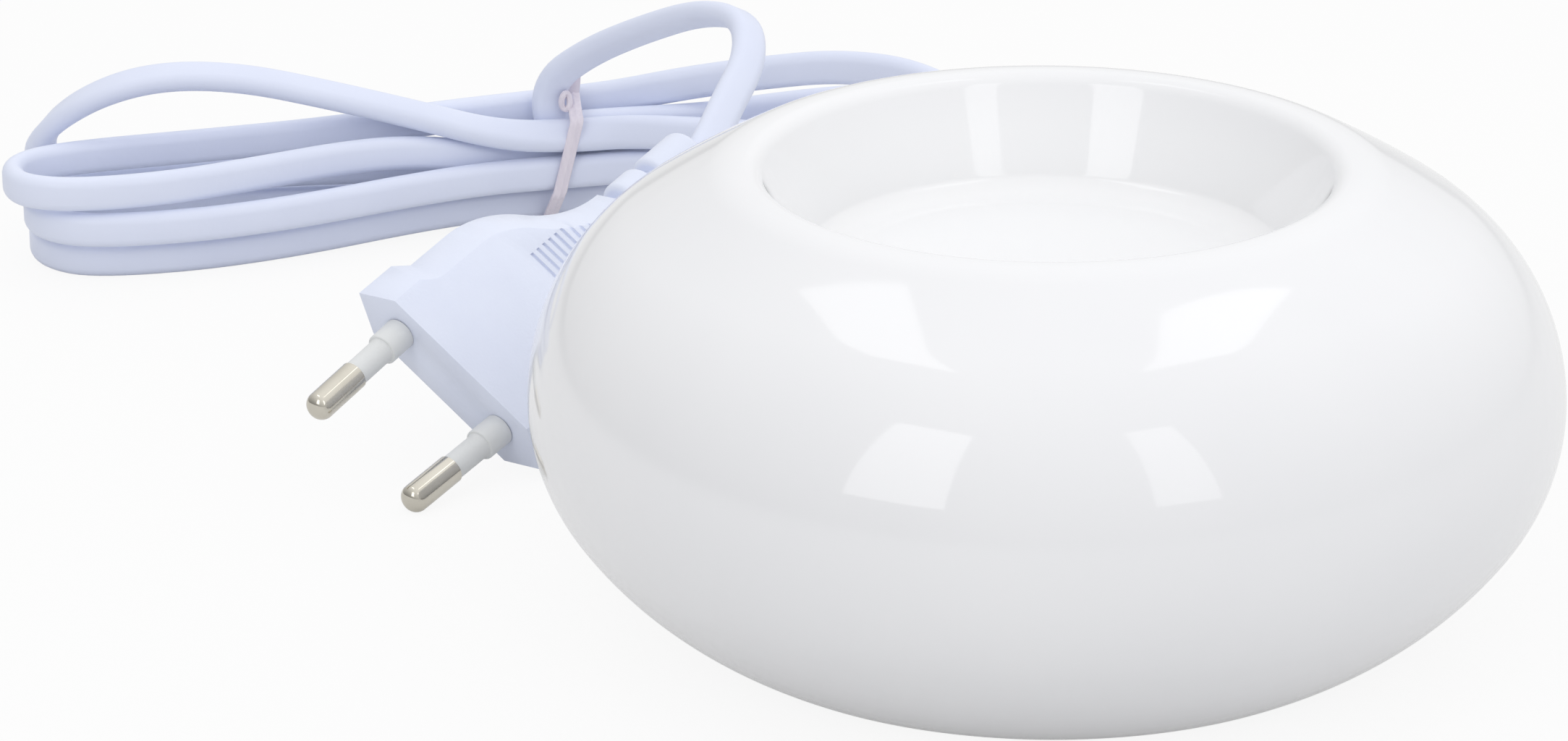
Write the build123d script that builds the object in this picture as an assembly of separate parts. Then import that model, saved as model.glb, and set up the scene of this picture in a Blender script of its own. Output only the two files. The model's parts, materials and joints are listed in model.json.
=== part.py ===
from build123d import *
import math
import os

os.makedirs("parts", exist_ok=True)

# Millimetres. Z is up, the origin is on the table under the middle of the body.

# Turned body
BODY_DIAMETER = 130.0
BODY_HEIGHT = 58.4
EQUATOR_HEIGHT = 28.3
SHOULDER_DROP = 2.7
CROWN_RADIUS = 137.3
BELLY_LIFT = 3.9
FOOT_RADIUS = 46.6
FOOT_DIAMETER = 89.0
RIM_DIAMETER = 75.4
RIM_RADIUS = 10.0
LIP_RADIUS = 2.6
DISH_DEPTH = 13.9
DISH_SLOPE = 63.0
DISH_FILLET = 4.2
WALL = 4.6

# Underside
STAND = 0.5
COVER_DIAMETER = 80.0
COVER_THICKNESS = 2.0
COVER_CLEARANCE = 0.15
COVER_LEDGE = 5.0
PAD_DIAMETER = 9.0
PAD_RECESS = 1.0
PAD_CIRCLE = 62.0
PAD_COUNT = 4
PAD_CLEARANCE = 0.1
COVER_SCREW_SPACING = 57.0
BOSS_DIAMETER = 9.0
CLAMP_GAP = 0.2

# Inner metalwork
BAR_LENGTH = 78.0
BAR_WIDTH = 16.0
BAR_THICKNESS = 1.5
BRIDGE_SPAN = 40.0
BRIDGE_WIDTH = 14.0
BRIDGE_THICKNESS = 1.2
BRIDGE_FOOT = 9.0
BRIDGE_BEND = 2.0
SCREW_RADIUS = 1.45
SCREW_TIP = 1.5
THREAD_RADIUS = 1.5
HOLE_RADIUS = 1.7
BRIDGE_HEAD_RADIUS = 2.7
BRIDGE_HEAD_HEIGHT = 1.8

# Heater
PLATE_MARGIN = 0.2
PLATE_THICKNESS = 2.0
STUD_RADIUS = 1.95
STUD_LENGTH = 14.0
STUD_CLEARANCE = 0.2
ELEMENT_DIAMETER = 30.0
ELEMENT_THICKNESS = 3.0
ELEMENT_HOLE = 8.0
TAB_WIDTH = 4.0
TAB_REACH = 5.0
TAB_THICKNESS = 0.8
TAB_OFFSET = 5.0
TAB_ROOT = 3.0
INSULATION_THICKNESS = 3.0
WASHER_DIAMETER = 9.0
WASHER_THICKNESS = 0.8
NUT_FLATS = 7.0
NUT_THICKNESS = 3.2
FUSE_RADIUS = 2.0
FUSE_LENGTH = 10.0
FUSE_GAP = 0.8
FUSE_WIRE_RADIUS = 0.5
FUSE_WIRE_REACH = 5.0
SLEEVE_WALL = 0.55
SLEEVE_CLEARANCE = 0.05
SLEEVE_LENGTH = 13.0
CLIP_THICKNESS = 0.6
CLIP_WIDTH = 5.0

# Wiring
BLOCK_LENGTH = 18.0
BLOCK_WIDTH = 13.0
BLOCK_HEIGHT = 11.0
POLE_SPACING = 9.0
POLE_HEIGHT = 4.5
POLE_RADIUS = 1.5
WIRE_RADIUS = 0.8
BLOCK_SCREW_RADIUS = 1.2
BLOCK_SCREW_OFFSET = 3.2
BLOCK_SCREW_SINK = 0.5
BLOCK_SCREW_CLEARANCE = 0.05
SCREW_SLOT_WIDTH = 0.5
SCREW_SLOT_DEPTH = 0.6
WIRE_STUB = 4.5
WIRE_SLACK = 3.7
WIRE_GRIP = 1.0
CORE_STUB = 3.5

# Cord, a flat twin that lies on its narrow edge
CORD_WIDTH = 5.1
CORD_THICKNESS = 3.2
CORE_SPACING = 2.0
EXIT_HEIGHT = 19.0
GROMMET_HOLE = 9.2
GROMMET_CLEARANCE = 0.1
FLANGE_DIAMETER = 13.0
FLANGE_THICKNESS = 1.5
RELIEF_REACH = 22.0
RELIEF_ROOT = 9.0
RELIEF_TIP = 7.0
CORD_CLEARANCE = 0.1
CLAMP_Y = 25.0
CLAMP_DEPTH = 6.0
CLAMP_LENGTH = 19.0
CLAMP_SHOULDER = 3.0
CLAMP_CROWN = 1.6
CLAMP_PAD = 0.8
CLAMP_SCREW_SPACING = 13.4
CLAMP_SCREW_RADIUS = 1.2
CLAMP_HEAD_RADIUS = 2.3
CLAMP_HEAD_HEIGHT = 1.6
CLAMP_HOLE_FLOOR = 0.8
CLAMP_HOLE_CLEARANCE = 0.1
CLAMP_TIP_GAP = 0.2
CORD_TAIL_Y = 19.0

# Hank
HANK_X = -66.0
HANK_Y = 148.7
HANK_ANGLE = 14.0
COLUMN_PITCH = 3.9
LEVEL_GAP = 0.45
TIE_LIFT = 0.9
JOIN_S = 4.8
SUPPLY_LEVEL = 17.7

# Tie
TIE_OFFSET = 0.9
TIE_WIDTH = 2.1
TIE_THICKNESS = 0.55
KNOT_RADIUS = 1.1
KNOT_LENGTH = 2.6
KNOT_SHIFT = 1.8

# Plug
PLUG_X = -77.6
PLUG_Y = 47.7
PLUG_YAW = 232.0
PLUG_PITCH = 16.5
PLUG_ROLL = 40.4
PLUG_HALF_WIDTH = 17.1
PLUG_HALF_HEIGHT = 4.4
PLUG_BEVEL = 47.0
HEAD_LENGTH = 6.9
HEAD_STEP = 2.3
BACK_HALF_WIDTH = 15.5
BACK_STRAIGHT = 17.0
NECK_HALF_WIDTH = 6.3
NECK_AT = 40.0
RELIEF_SEGMENTS = ((41.2, 46.4), (48.0, 56.2))
SEGMENT_WIDTH = 12.4
SEGMENT_HEIGHT = 7.6
SEGMENT_ROUND = 0.9
SPINE_WIDTH = 8.6
SPINE_HEIGHT = 5.2
GROOVE_COUNT = 9
GROOVE_FIRST = 21.6
GROOVE_PITCH = 1.3
GROOVE_WIDTH = 0.55
GROOVE_DEPTH = 0.4
GROOVE_LENGTH = 10.6
SPINE_SINK = 1.0
PIN_SPACING = 18.6
PIN_TIP_SPACING = 17.5
PIN_RADIUS = 2.0
PIN_CORE_RADIUS = 1.5
PIN_LENGTH = 19.0
PIN_ROUND = 1.6
PIN_ROOT = 12.0
PIN_SEAT_GAP = 0.1
PIN_SLEEVE_LENGTH = 10.2
PIN_COLLAR_RADIUS = 2.45
PIN_COLLAR_LENGTH = 4.2

# Values that follow from the sizes above
FOOT_R = FOOT_DIAMETER / 2
RIM_R = RIM_DIAMETER / 2
SHOULDER_RADIUS = BODY_HEIGHT - EQUATOR_HEIGHT - SHOULDER_DROP
BELLY_RADIUS = EQUATOR_HEIGHT - BELLY_LIFT
DISH_SIN = math.sin(math.radians(DISH_SLOPE))
DISH_COS = math.cos(math.radians(DISH_SLOPE))
DISH_ROUNDS = LIP_RADIUS + DISH_FILLET
DISH_R = RIM_R - (DISH_ROUNDS + DISH_COS * (DISH_DEPTH - DISH_ROUNDS)) / DISH_SIN
DISH_FLOOR = STAND + BODY_HEIGHT - DISH_DEPTH
COVER_TOP = STAND + COVER_THICKNESS
OPENING_R = COVER_DIAMETER / 2 - COVER_LEDGE
DISH_UNDER = DISH_FLOOR - WALL
PLATE_UNDER = DISH_UNDER - PLATE_THICKNESS
ELEMENT_UNDER = PLATE_UNDER - ELEMENT_THICKNESS
INSULATION_UNDER = ELEMENT_UNDER - INSULATION_THICKNESS
BRIDGE_UNDER = INSULATION_UNDER - BRIDGE_THICKNESS
TAB_Z = PLATE_UNDER - ELEMENT_THICKNESS / 2
TAB_END = ELEMENT_DIAMETER / 2 + TAB_REACH
FUSE_SLEEVE_R = FUSE_RADIUS + SLEEVE_CLEARANCE + SLEEVE_WALL
FUSE_OFFSET = ELEMENT_DIAMETER / 2 + FUSE_GAP + FUSE_SLEEVE_R
FUSE_Z = PLATE_UNDER - FUSE_SLEEVE_R
FUSE_END = FUSE_LENGTH / 2 + FUSE_WIRE_REACH
BRIDGE_SCREW_X = BRIDGE_SPAN / 2 - BRIDGE_FOOT / 2
CLAMP_BASE = COVER_TOP + CLAMP_PAD
TAIL_Z = CLAMP_BASE + CORD_WIDTH / 2
LEVEL_PITCH = CORD_WIDTH + LEVEL_GAP
LEVELS = [CORD_WIDTH / 2 + 0.02 + LEVEL_PITCH * i for i in range(3)]


def save(node, *shapes):
    solids = []
    for shape in shapes:
        solids.extend(shape.solids())
    piece = solids[0] if len(solids) == 1 else Compound(children=solids)
    export_step(piece, f"parts/{node}.step")
    print(node, len(solids), "solid(s)", round(sum(s.volume for s in solids), 1), "mm3")


def rod(radius, start, end):
    start, end = Vector(*start), Vector(*end)
    along = end - start
    lying = Plane(origin=start, z_dir=along)
    return extrude(lying * Circle(radius), amount=along.length)


def box(low, high):
    size = [b - a for a, b in zip(low, high)]
    middle = [(a + b) / 2 for a, b in zip(low, high)]
    return Pos(*middle) * Box(*size)


# The outline runs from the widest point as arcs that meet without a corner. An arc that
# wraps two circles touches both from outside: the angles are where it meets each.
def wrapping_angles(first, first_radius, second, second_radius, radius, side):
    gap = math.dist(first, second)
    near, far = radius - first_radius, radius - second_radius
    bearing = math.atan2(second[1] - first[1], second[0] - first[0])
    bearing += side * math.acos((near * near + gap * gap - far * far) / (2 * near * gap))
    middle = (first[0] + near * math.cos(bearing), first[1] + near * math.sin(bearing))
    return [math.degrees(math.atan2(y - middle[1], x - middle[0])) for x, y in (first, second)]


def upper_angles():
    shoulder = (BODY_DIAMETER / 2 - SHOULDER_RADIUS, EQUATOR_HEIGHT)
    rim = (RIM_R, BODY_HEIGHT - RIM_RADIUS)
    return wrapping_angles(shoulder, SHOULDER_RADIUS, rim, RIM_RADIUS, CROWN_RADIUS, 1)


def lower_angles():
    belly = (BODY_DIAMETER / 2 - BELLY_RADIUS, EQUATOR_HEIGHT)
    return wrapping_angles(belly, BELLY_RADIUS, (FOOT_R, 0), 0, FOOT_RADIUS, -1)


LEDGE_TOP = STAND - WALL * math.sin(math.radians(lower_angles()[1]))
BAR_TOP = LEDGE_TOP + BAR_THICKNESS
POLE_Z = BAR_TOP + POLE_HEIGHT


def arc_chain(start, heading, turns):
    edges = []
    point, direction = Vector(*start), Vector(*heading)
    for radius, angle in turns:
        arc = JernArc(start=point, tangent=direction, radius=radius, arc_size=angle)
        edges.extend(arc.edges())
        point, direction = arc @ 1, arc % 1
    return edges, point


# Inside the shell the lip has no room: there the rim's arc runs on to meet the wall of the dish.
def rim_turns(inset, crown):
    if inset < LIP_RADIUS:
        return [(RIM_RADIUS - inset, 90 - crown), (LIP_RADIUS - inset, DISH_SLOPE)]
    beyond = LIP_RADIUS - inset + (RIM_RADIUS - LIP_RADIUS) * DISH_COS
    corner = 90 + DISH_SLOPE - math.degrees(math.acos(beyond / (RIM_RADIUS - inset)))
    return [(RIM_RADIUS - inset, corner - crown)]


def upper_run(inset):
    shoulder, crown = upper_angles()
    turns = [(SHOULDER_RADIUS - inset, shoulder), (CROWN_RADIUS - inset, crown - shoulder)]
    start = (BODY_DIAMETER / 2 - inset, STAND + EQUATOR_HEIGHT)
    outside, brink = arc_chain(start, (0, 1), turns + rim_turns(inset, crown))
    radius = DISH_FILLET + inset
    heel = Vector(DISH_R + radius * DISH_SIN, DISH_FLOOR + DISH_FILLET - radius * DISH_COS)
    fillet_edges, floor = arc_chain(heel, (-DISH_COS, -DISH_SIN), [(radius, -DISH_SLOPE)])
    return outside + Line(brink, heel).edges() + fillet_edges, floor


def lower_run(inset):
    belly, foot = lower_angles()
    turns = [(BELLY_RADIUS - inset, belly), (FOOT_RADIUS - inset, foot - belly)]
    start = (BODY_DIAMETER / 2 - inset, STAND + EQUATOR_HEIGHT)
    return arc_chain(start, (0, -1), turns)


def turned(edges):
    return revolve(Plane.XZ * make_face(edges), axis=Axis.Z)


def whole_form(inset):
    start = (BODY_DIAMETER / 2 - inset, STAND + EQUATOR_HEIGHT)
    upper, top = arc_chain(start, (0, 1), [(SHOULDER_RADIUS - inset, upper_angles()[0])])
    lower, foot = lower_run(inset)
    closing = Polyline(top, (0, top.Y), (0, foot.Y), foot)
    return turned(upper + lower + closing.edges())


def ceramic_body():
    upper, top = upper_run(0)
    lower, foot = lower_run(0)
    inner_upper, under = upper_run(WALL)
    inner_lower, ledge = lower_run(WALL)
    axis = Polyline(top, (0, top.Y), (0, under.Y), under)
    rebate = COVER_DIAMETER / 2
    rim = Polyline(
        ledge,
        (OPENING_R, ledge.Y),
        (OPENING_R, COVER_TOP),
        (rebate, COVER_TOP),
        (rebate, STAND),
        foot,
    )
    edges = upper + lower + inner_upper + inner_lower + axis.edges() + rim.edges()
    hole = rod(GROMMET_HOLE / 2, (0, 0, EXIT_HEIGHT), (0, BODY_DIAMETER, EXIT_HEIGHT))
    return turned(edges) - hole


def pad_places():
    return [
        (
            PAD_CIRCLE / 2 * math.cos(math.radians(360 * (i + 0.5) / PAD_COUNT)),
            PAD_CIRCLE / 2 * math.sin(math.radians(360 * (i + 0.5) / PAD_COUNT)),
        )
        for i in range(PAD_COUNT)
    ]


def cover_screw_places():
    return [(side * COVER_SCREW_SPACING / 2, 0) for side in (-1, 1)]


def clamp_screw_places():
    return [(side * CLAMP_SCREW_SPACING / 2, CLAMP_Y) for side in (-1, 1)]


def countersunk(x, y, radius, length, head):
    cone = Pos(x, y, STAND + head / 2) * Cone(radius + head, radius, head)
    return cone + rod(radius, (x, y, STAND + head), (x, y, STAND + length))


def base_cover():
    cover_r = COVER_DIAMETER / 2 - COVER_CLEARANCE
    cover = rod(cover_r, (0, 0, STAND), (0, 0, COVER_TOP))
    for x, y in cover_screw_places():
        cover += rod(BOSS_DIAMETER / 2, (x, y, COVER_TOP), (x, y, LEDGE_TOP - CLAMP_GAP))
        cover -= countersunk(x, y, HOLE_RADIUS, LEDGE_TOP, SCREW_RADIUS)
    half = CLAMP_LENGTH / 2
    cover += box(
        (-half, CLAMP_Y - CLAMP_DEPTH / 2, COVER_TOP),
        (half, CLAMP_Y + CLAMP_DEPTH / 2, CLAMP_BASE),
    )
    for x, y in clamp_screw_places():
        cover -= rod(CLAMP_SCREW_RADIUS, (x, y, STAND + CLAMP_HOLE_FLOOR), (x, y, CLAMP_BASE))
    for x, y in pad_places():
        cover -= rod(PAD_DIAMETER / 2 + PAD_CLEARANCE, (x, y, 0), (x, y, STAND + PAD_RECESS))
    return cover


def rubber_feet():
    return [rod(PAD_DIAMETER / 2, (x, y, 0), (x, y, STAND + PAD_RECESS)) for x, y in pad_places()]


def clamp_bar():
    bar = box((-BAR_LENGTH / 2, -BAR_WIDTH / 2, LEDGE_TOP), (BAR_LENGTH / 2, BAR_WIDTH / 2, BAR_TOP))
    for x, y in cover_screw_places():
        bar -= rod(THREAD_RADIUS, (x, y, LEDGE_TOP), (x, y, BAR_TOP))
    for x in (-BRIDGE_SCREW_X, BRIDGE_SCREW_X):
        bar -= rod(THREAD_RADIUS, (x, 0, LEDGE_TOP), (x, 0, BAR_TOP))
    return bar


def cover_screws():
    length = BAR_TOP + SCREW_TIP - STAND
    return [countersunk(x, y, SCREW_RADIUS, length, SCREW_RADIUS) for x, y in cover_screw_places()]


def pan_screw(x, y, seat, radius, head_radius, head, length):
    return rod(head_radius, (x, y, seat), (x, y, seat + head)) + rod(
        radius, (x, y, seat - length), (x, y, seat)
    )


def heater_bridge():
    out, low, high = BRIDGE_SPAN / 2, BAR_TOP + BRIDGE_THICKNESS / 2, BRIDGE_UNDER + BRIDGE_THICKNESS / 2
    inner = out - BRIDGE_FOOT
    line = FilletPolyline(
        (inner, 0, low),
        (out, 0, low),
        (out, 0, high),
        (-out, 0, high),
        (-out, 0, low),
        (-inner, 0, low),
        radius=BRIDGE_BEND,
    )
    start = Plane(origin=line @ 0, x_dir=(0, 1, 0), z_dir=line % 0)
    strap = sweep(start * Rectangle(BRIDGE_WIDTH, BRIDGE_THICKNESS), path=line)
    strap -= rod(STUD_RADIUS + STUD_CLEARANCE, (0, 0, BRIDGE_UNDER), (0, 0, INSULATION_UNDER))
    for x in (-BRIDGE_SCREW_X, BRIDGE_SCREW_X):
        strap -= rod(HOLE_RADIUS, (x, 0, BAR_TOP), (x, 0, BAR_TOP + BRIDGE_THICKNESS))
    return strap


def bridge_screws():
    seat = BAR_TOP + BRIDGE_THICKNESS
    length = BRIDGE_THICKNESS + BAR_THICKNESS
    return [
        pan_screw(x, 0, seat, SCREW_RADIUS, BRIDGE_HEAD_RADIUS, BRIDGE_HEAD_HEIGHT, length)
        for x in (-BRIDGE_SCREW_X, BRIDGE_SCREW_X)
    ]


def heater_plate():
    plate = rod(DISH_R - PLATE_MARGIN, (0, 0, PLATE_UNDER), (0, 0, DISH_UNDER))
    return plate + rod(STUD_RADIUS, (0, 0, PLATE_UNDER - STUD_LENGTH), (0, 0, PLATE_UNDER))


def heating_element():
    ring = rod(ELEMENT_DIAMETER / 2, (0, 0, ELEMENT_UNDER), (0, 0, PLATE_UNDER))
    for side in (-1, 1):
        reach = sorted((side * (ELEMENT_DIAMETER / 2 - TAB_ROOT), side * TAB_END))
        ring += box(
            (side * TAB_OFFSET - TAB_WIDTH / 2, reach[0], TAB_Z - TAB_THICKNESS / 2),
            (side * TAB_OFFSET + TAB_WIDTH / 2, reach[1], TAB_Z + TAB_THICKNESS / 2),
        )
    return ring - rod(ELEMENT_HOLE / 2, (0, 0, ELEMENT_UNDER), (0, 0, PLATE_UNDER))


def drilled_disc(radius, hole, low, high):
    return rod(radius, (0, 0, low), (0, 0, high)) - rod(hole, (0, 0, low), (0, 0, high))


def stud_nut():
    top = BRIDGE_UNDER - WASHER_THICKNESS
    hexagon = RegularPolygon(NUT_FLATS / 2, 6, major_radius=False)
    nut = extrude(Pos(0, 0, top - NUT_THICKNESS) * hexagon, amount=NUT_THICKNESS)
    return nut - rod(STUD_RADIUS, (0, 0, top - NUT_THICKNESS), (0, 0, top))


def along_fuse(radius, half):
    return rod(radius, (FUSE_OFFSET, -half, FUSE_Z), (FUSE_OFFSET, half, FUSE_Z))


def thermal_fuse():
    return along_fuse(FUSE_RADIUS, FUSE_LENGTH / 2) + along_fuse(FUSE_WIRE_RADIUS, FUSE_END)


def fuse_sleeve():
    half = SLEEVE_LENGTH / 2
    return along_fuse(FUSE_SLEEVE_R, half) - along_fuse(FUSE_RADIUS + SLEEVE_CLEARANCE, half)


def fuse_clip():
    half, outer = CLIP_WIDTH / 2, FUSE_SLEEVE_R + CLIP_THICKNESS
    clip = along_fuse(outer, half)
    clip += box((FUSE_OFFSET - outer, -half, FUSE_Z), (FUSE_OFFSET + outer, half, PLATE_UNDER))
    clip -= along_fuse(FUSE_SLEEVE_R, half)
    clip -= box(
        (FUSE_OFFSET - FUSE_SLEEVE_R, -half, FUSE_Z), (FUSE_OFFSET + FUSE_SLEEVE_R, half, PLATE_UNDER)
    )
    return clip & box((FUSE_OFFSET - outer, -half, 0), (FUSE_OFFSET + outer, half, PLATE_UNDER))


def pole_places():
    return [(side * POLE_SPACING / 2, end * BLOCK_SCREW_OFFSET) for side in (-1, 1) for end in (-1, 1)]


def terminal_block():
    block = box(
        (-BLOCK_LENGTH / 2, -BLOCK_WIDTH / 2, BAR_TOP),
        (BLOCK_LENGTH / 2, BLOCK_WIDTH / 2, BAR_TOP + BLOCK_HEIGHT),
    )
    for side in (-1, 1):
        x = side * POLE_SPACING / 2
        block -= rod(POLE_RADIUS, (x, -BLOCK_WIDTH / 2, POLE_Z), (x, BLOCK_WIDTH / 2, POLE_Z))
    hole = BLOCK_SCREW_RADIUS + BLOCK_SCREW_CLEARANCE
    for x, y in pole_places():
        block -= rod(hole, (x, y, POLE_Z), (x, y, BAR_TOP + BLOCK_HEIGHT))
    return block


def terminal_screws():
    low, high = POLE_Z + WIRE_RADIUS, BAR_TOP + BLOCK_HEIGHT - BLOCK_SCREW_SINK
    screws = []
    for x, y in pole_places():
        screw = rod(BLOCK_SCREW_RADIUS, (x, y, low), (x, y, high))
        slot = box(
            (x - BLOCK_SCREW_RADIUS, y - SCREW_SLOT_WIDTH / 2, high - SCREW_SLOT_DEPTH),
            (x + BLOCK_SCREW_RADIUS, y + SCREW_SLOT_WIDTH / 2, high),
        )
        screws.append(screw - slot)
    return screws


# Cord and wire paths are straight runs joined by tangent arcs.
def bend_radii(points):
    radii = []
    spots = [Vector(*p) for p in points]
    for before, at, after in zip(spots, spots[1:], spots[2:]):
        runs = (at - before, after - at)
        turn = math.radians(runs[0].get_angle(runs[1]))
        radii.append(0.45 * min(runs[0].length, runs[1].length) / math.tan(turn / 2))
    return radii


def route(points):
    radii = bend_radii(points)
    return FilletPolyline(*points, radius=radii), radii


def wire(points):
    line, radii = route(points)
    start = Plane(origin=line @ 0, z_dir=line % 0)
    return sweep(start * Circle(WIRE_RADIUS), path=line)


def flat_cord(node, line, radii):
    start = Plane(origin=line @ 0, x_dir=(0, 0, 1), z_dir=line % 0)
    section = start * SlotOverall(CORD_WIDTH, CORD_THICKNESS)
    tube = sweep(section, path=line)
    expected = section.area * line.length
    print(
        node,
        "length", round(line.length, 1),
        "tightest bend", round(min(radii), 2),
        "volume over section times length", round(tube.volume / expected, 4),
    )
    return tube


def sleeve_end():
    belly = math.sqrt(BELLY_RADIUS**2 - (STAND + EQUATOR_HEIGHT - EXIT_HEIGHT) ** 2)
    return BODY_DIAMETER / 2 - BELLY_RADIUS + belly + RELIEF_REACH


def inner_cord():
    points = [
        (0, sleeve_end(), EXIT_HEIGHT),
        (0, 49, EXIT_HEIGHT),
        (0, 41, EXIT_HEIGHT - 5),
        (0, 34, TAIL_Z),
        (0, CORD_TAIL_Y, TAIL_Z),
    ]
    line, radii = route(points)
    return flat_cord("inner_cord", line, radii)


def supply_cores():
    cores = []
    for side in (-1, 1):
        x, z = side * POLE_SPACING / 2, TAIL_Z + side * CORE_SPACING / 2
        cores.append(
            wire(
                [
                    (0, CORD_TAIL_Y, z),
                    (0, CORD_TAIL_Y - CORE_STUB, z),
                    (x, BLOCK_WIDTH / 2 + WIRE_STUB, POLE_Z),
                    (x, BLOCK_SCREW_OFFSET - WIRE_GRIP, POLE_Z),
                ]
            )
        )
    return cores


# An inner wire leaves both its ends straight and bows out by the slack between them.
def slack_wire(start, stub, far_stub, end, slack):
    points = [start, stub]
    for share in (0.3, 0.67):
        x, y, z = [a + (b - a) * share for a, b in zip(stub, far_stub)]
        points.append((x, y + slack, z))
    return wire(points + [far_stub, end])


def from_pole(side):
    x = side * POLE_SPACING / 2
    return (x, WIRE_GRIP - BLOCK_SCREW_OFFSET, POLE_Z), (x, -BLOCK_WIDTH / 2 - WIRE_STUB, POLE_Z)


def to_fuse(side):
    return (FUSE_OFFSET, side * (FUSE_END + WIRE_STUB), FUSE_Z), (FUSE_OFFSET, side * FUSE_END, FUSE_Z)


def to_tab(side):
    x = side * TAB_OFFSET
    return (x, side * (TAB_END + WIRE_STUB), TAB_Z), (x, side * TAB_END, TAB_Z)


def live_wire():
    return slack_wire(*from_pole(1), *to_fuse(-1), -WIRE_SLACK)


def neutral_wire():
    return slack_wire(*from_pole(-1), *to_tab(-1), -WIRE_SLACK)


def jumper_wire():
    return slack_wire(*reversed(to_fuse(1)), *to_tab(1), WIRE_SLACK)


def cord_grommet():
    y = sleeve_end()
    root = y - RELIEF_REACH
    across = (0, 0, EXIT_HEIGHT), (0, BODY_DIAMETER, EXIT_HEIGHT)
    flange = rod(FLANGE_DIAMETER / 2, *across)
    outside = flange & (whole_form(-FLANGE_THICKNESS) - whole_form(0))
    inside = flange & (whole_form(WALL) - whole_form(WALL + FLANGE_THICKNESS))
    outside = outside.solids().sort_by(Axis.Y)[-1]
    inside = inside.solids().sort_by(Axis.Y)[-1]
    neck_r = GROMMET_HOLE / 2 - GROMMET_CLEARANCE
    neck_ends = root - WALL - FLANGE_THICKNESS, root + FLANGE_THICKNESS / 3
    neck = rod(neck_r, *[(0, end, EXIT_HEIGHT) for end in neck_ends])
    lying = Plane(origin=(0, root, EXIT_HEIGHT), x_dir=(1, 0, 0), z_dir=(0, 1, 0))
    relief = lying * Pos(0, 0, RELIEF_REACH / 2) * Cone(RELIEF_ROOT / 2, RELIEF_TIP / 2, RELIEF_REACH)
    slot = SlotOverall(CORD_WIDTH + 2 * CORD_CLEARANCE, CORD_THICKNESS + 2 * CORD_CLEARANCE, rotation=90)
    inward = WALL + FLANGE_DIAMETER
    bore = extrude(lying * Pos(0, 0, -inward) * slot, amount=RELIEF_REACH + 2 * inward)
    return outside + inside + neck + relief - bore


def cord_clamp():
    top = CLAMP_BASE + CORD_WIDTH + CLAMP_CROWN
    low, high = CLAMP_Y - CLAMP_DEPTH / 2, CLAMP_Y + CLAMP_DEPTH / 2
    half, slot = CLAMP_LENGTH / 2, CORD_THICKNESS / 2 + CORD_CLEARANCE
    saddle = box((-half, low, CLAMP_BASE), (half, high, CLAMP_BASE + CLAMP_SHOULDER))
    saddle += box((-slot - CLAMP_CROWN, low, CLAMP_BASE), (slot + CLAMP_CROWN, high, top))
    saddle -= box((-slot, low, CLAMP_BASE), (slot, high, CLAMP_BASE + CORD_WIDTH + CORD_CLEARANCE))
    for x, y in clamp_screw_places():
        hole = CLAMP_SCREW_RADIUS + CLAMP_HOLE_CLEARANCE
        saddle -= rod(hole, (x, y, CLAMP_BASE), (x, y, CLAMP_BASE + CLAMP_SHOULDER))
    return saddle


def clamp_screws():
    seat = CLAMP_BASE + CLAMP_SHOULDER
    length = seat - STAND - CLAMP_HOLE_FLOOR - CLAMP_TIP_GAP
    return [
        pan_screw(x, y, seat, CLAMP_SCREW_RADIUS, CLAMP_HEAD_RADIUS, CLAMP_HEAD_HEIGHT, length)
        for x, y in clamp_screw_places()
    ]


# Hank coordinates: s along the bundle to the right, t to the back, both from the tie.
COS_H = math.cos(math.radians(HANK_ANGLE))
SIN_H = math.sin(math.radians(HANK_ANGLE))


def hank_point(s, t, z):
    return Vector(HANK_X + s * COS_H - t * SIN_H, HANK_Y + s * SIN_H + t * COS_H, z)


def hank_heading(s, t, z=0):
    return Vector(s * COS_H - t * SIN_H, s * SIN_H + t * COS_H, z).normalized()


LEFT, RIGHT, FRONT, BACK = (-1, 0), (1, 0), (0, -1), (0, 1)


def left_turn(end_s, front_t, back_t, z):
    radius = (back_t - front_t) / 2
    middle = (back_t + front_t) / 2
    return [
        (end_s + radius, back_t, z, LEFT),
        (end_s, middle, z, FRONT),
        (end_s + radius, front_t, z, RIGHT),
    ]


def right_turn(run_s, front_t, back_t, z):
    radius = (back_t - front_t) / 2
    middle = (back_t + front_t) / 2
    return [
        (run_s, front_t, z, RIGHT),
        (run_s + radius, middle, z, BACK),
        (run_s, back_t, z, LEFT),
    ]


def at_tie(column, level, heading):
    return (0, column * COLUMN_PITCH, LEVELS[level] + TIE_LIFT, heading)


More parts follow.
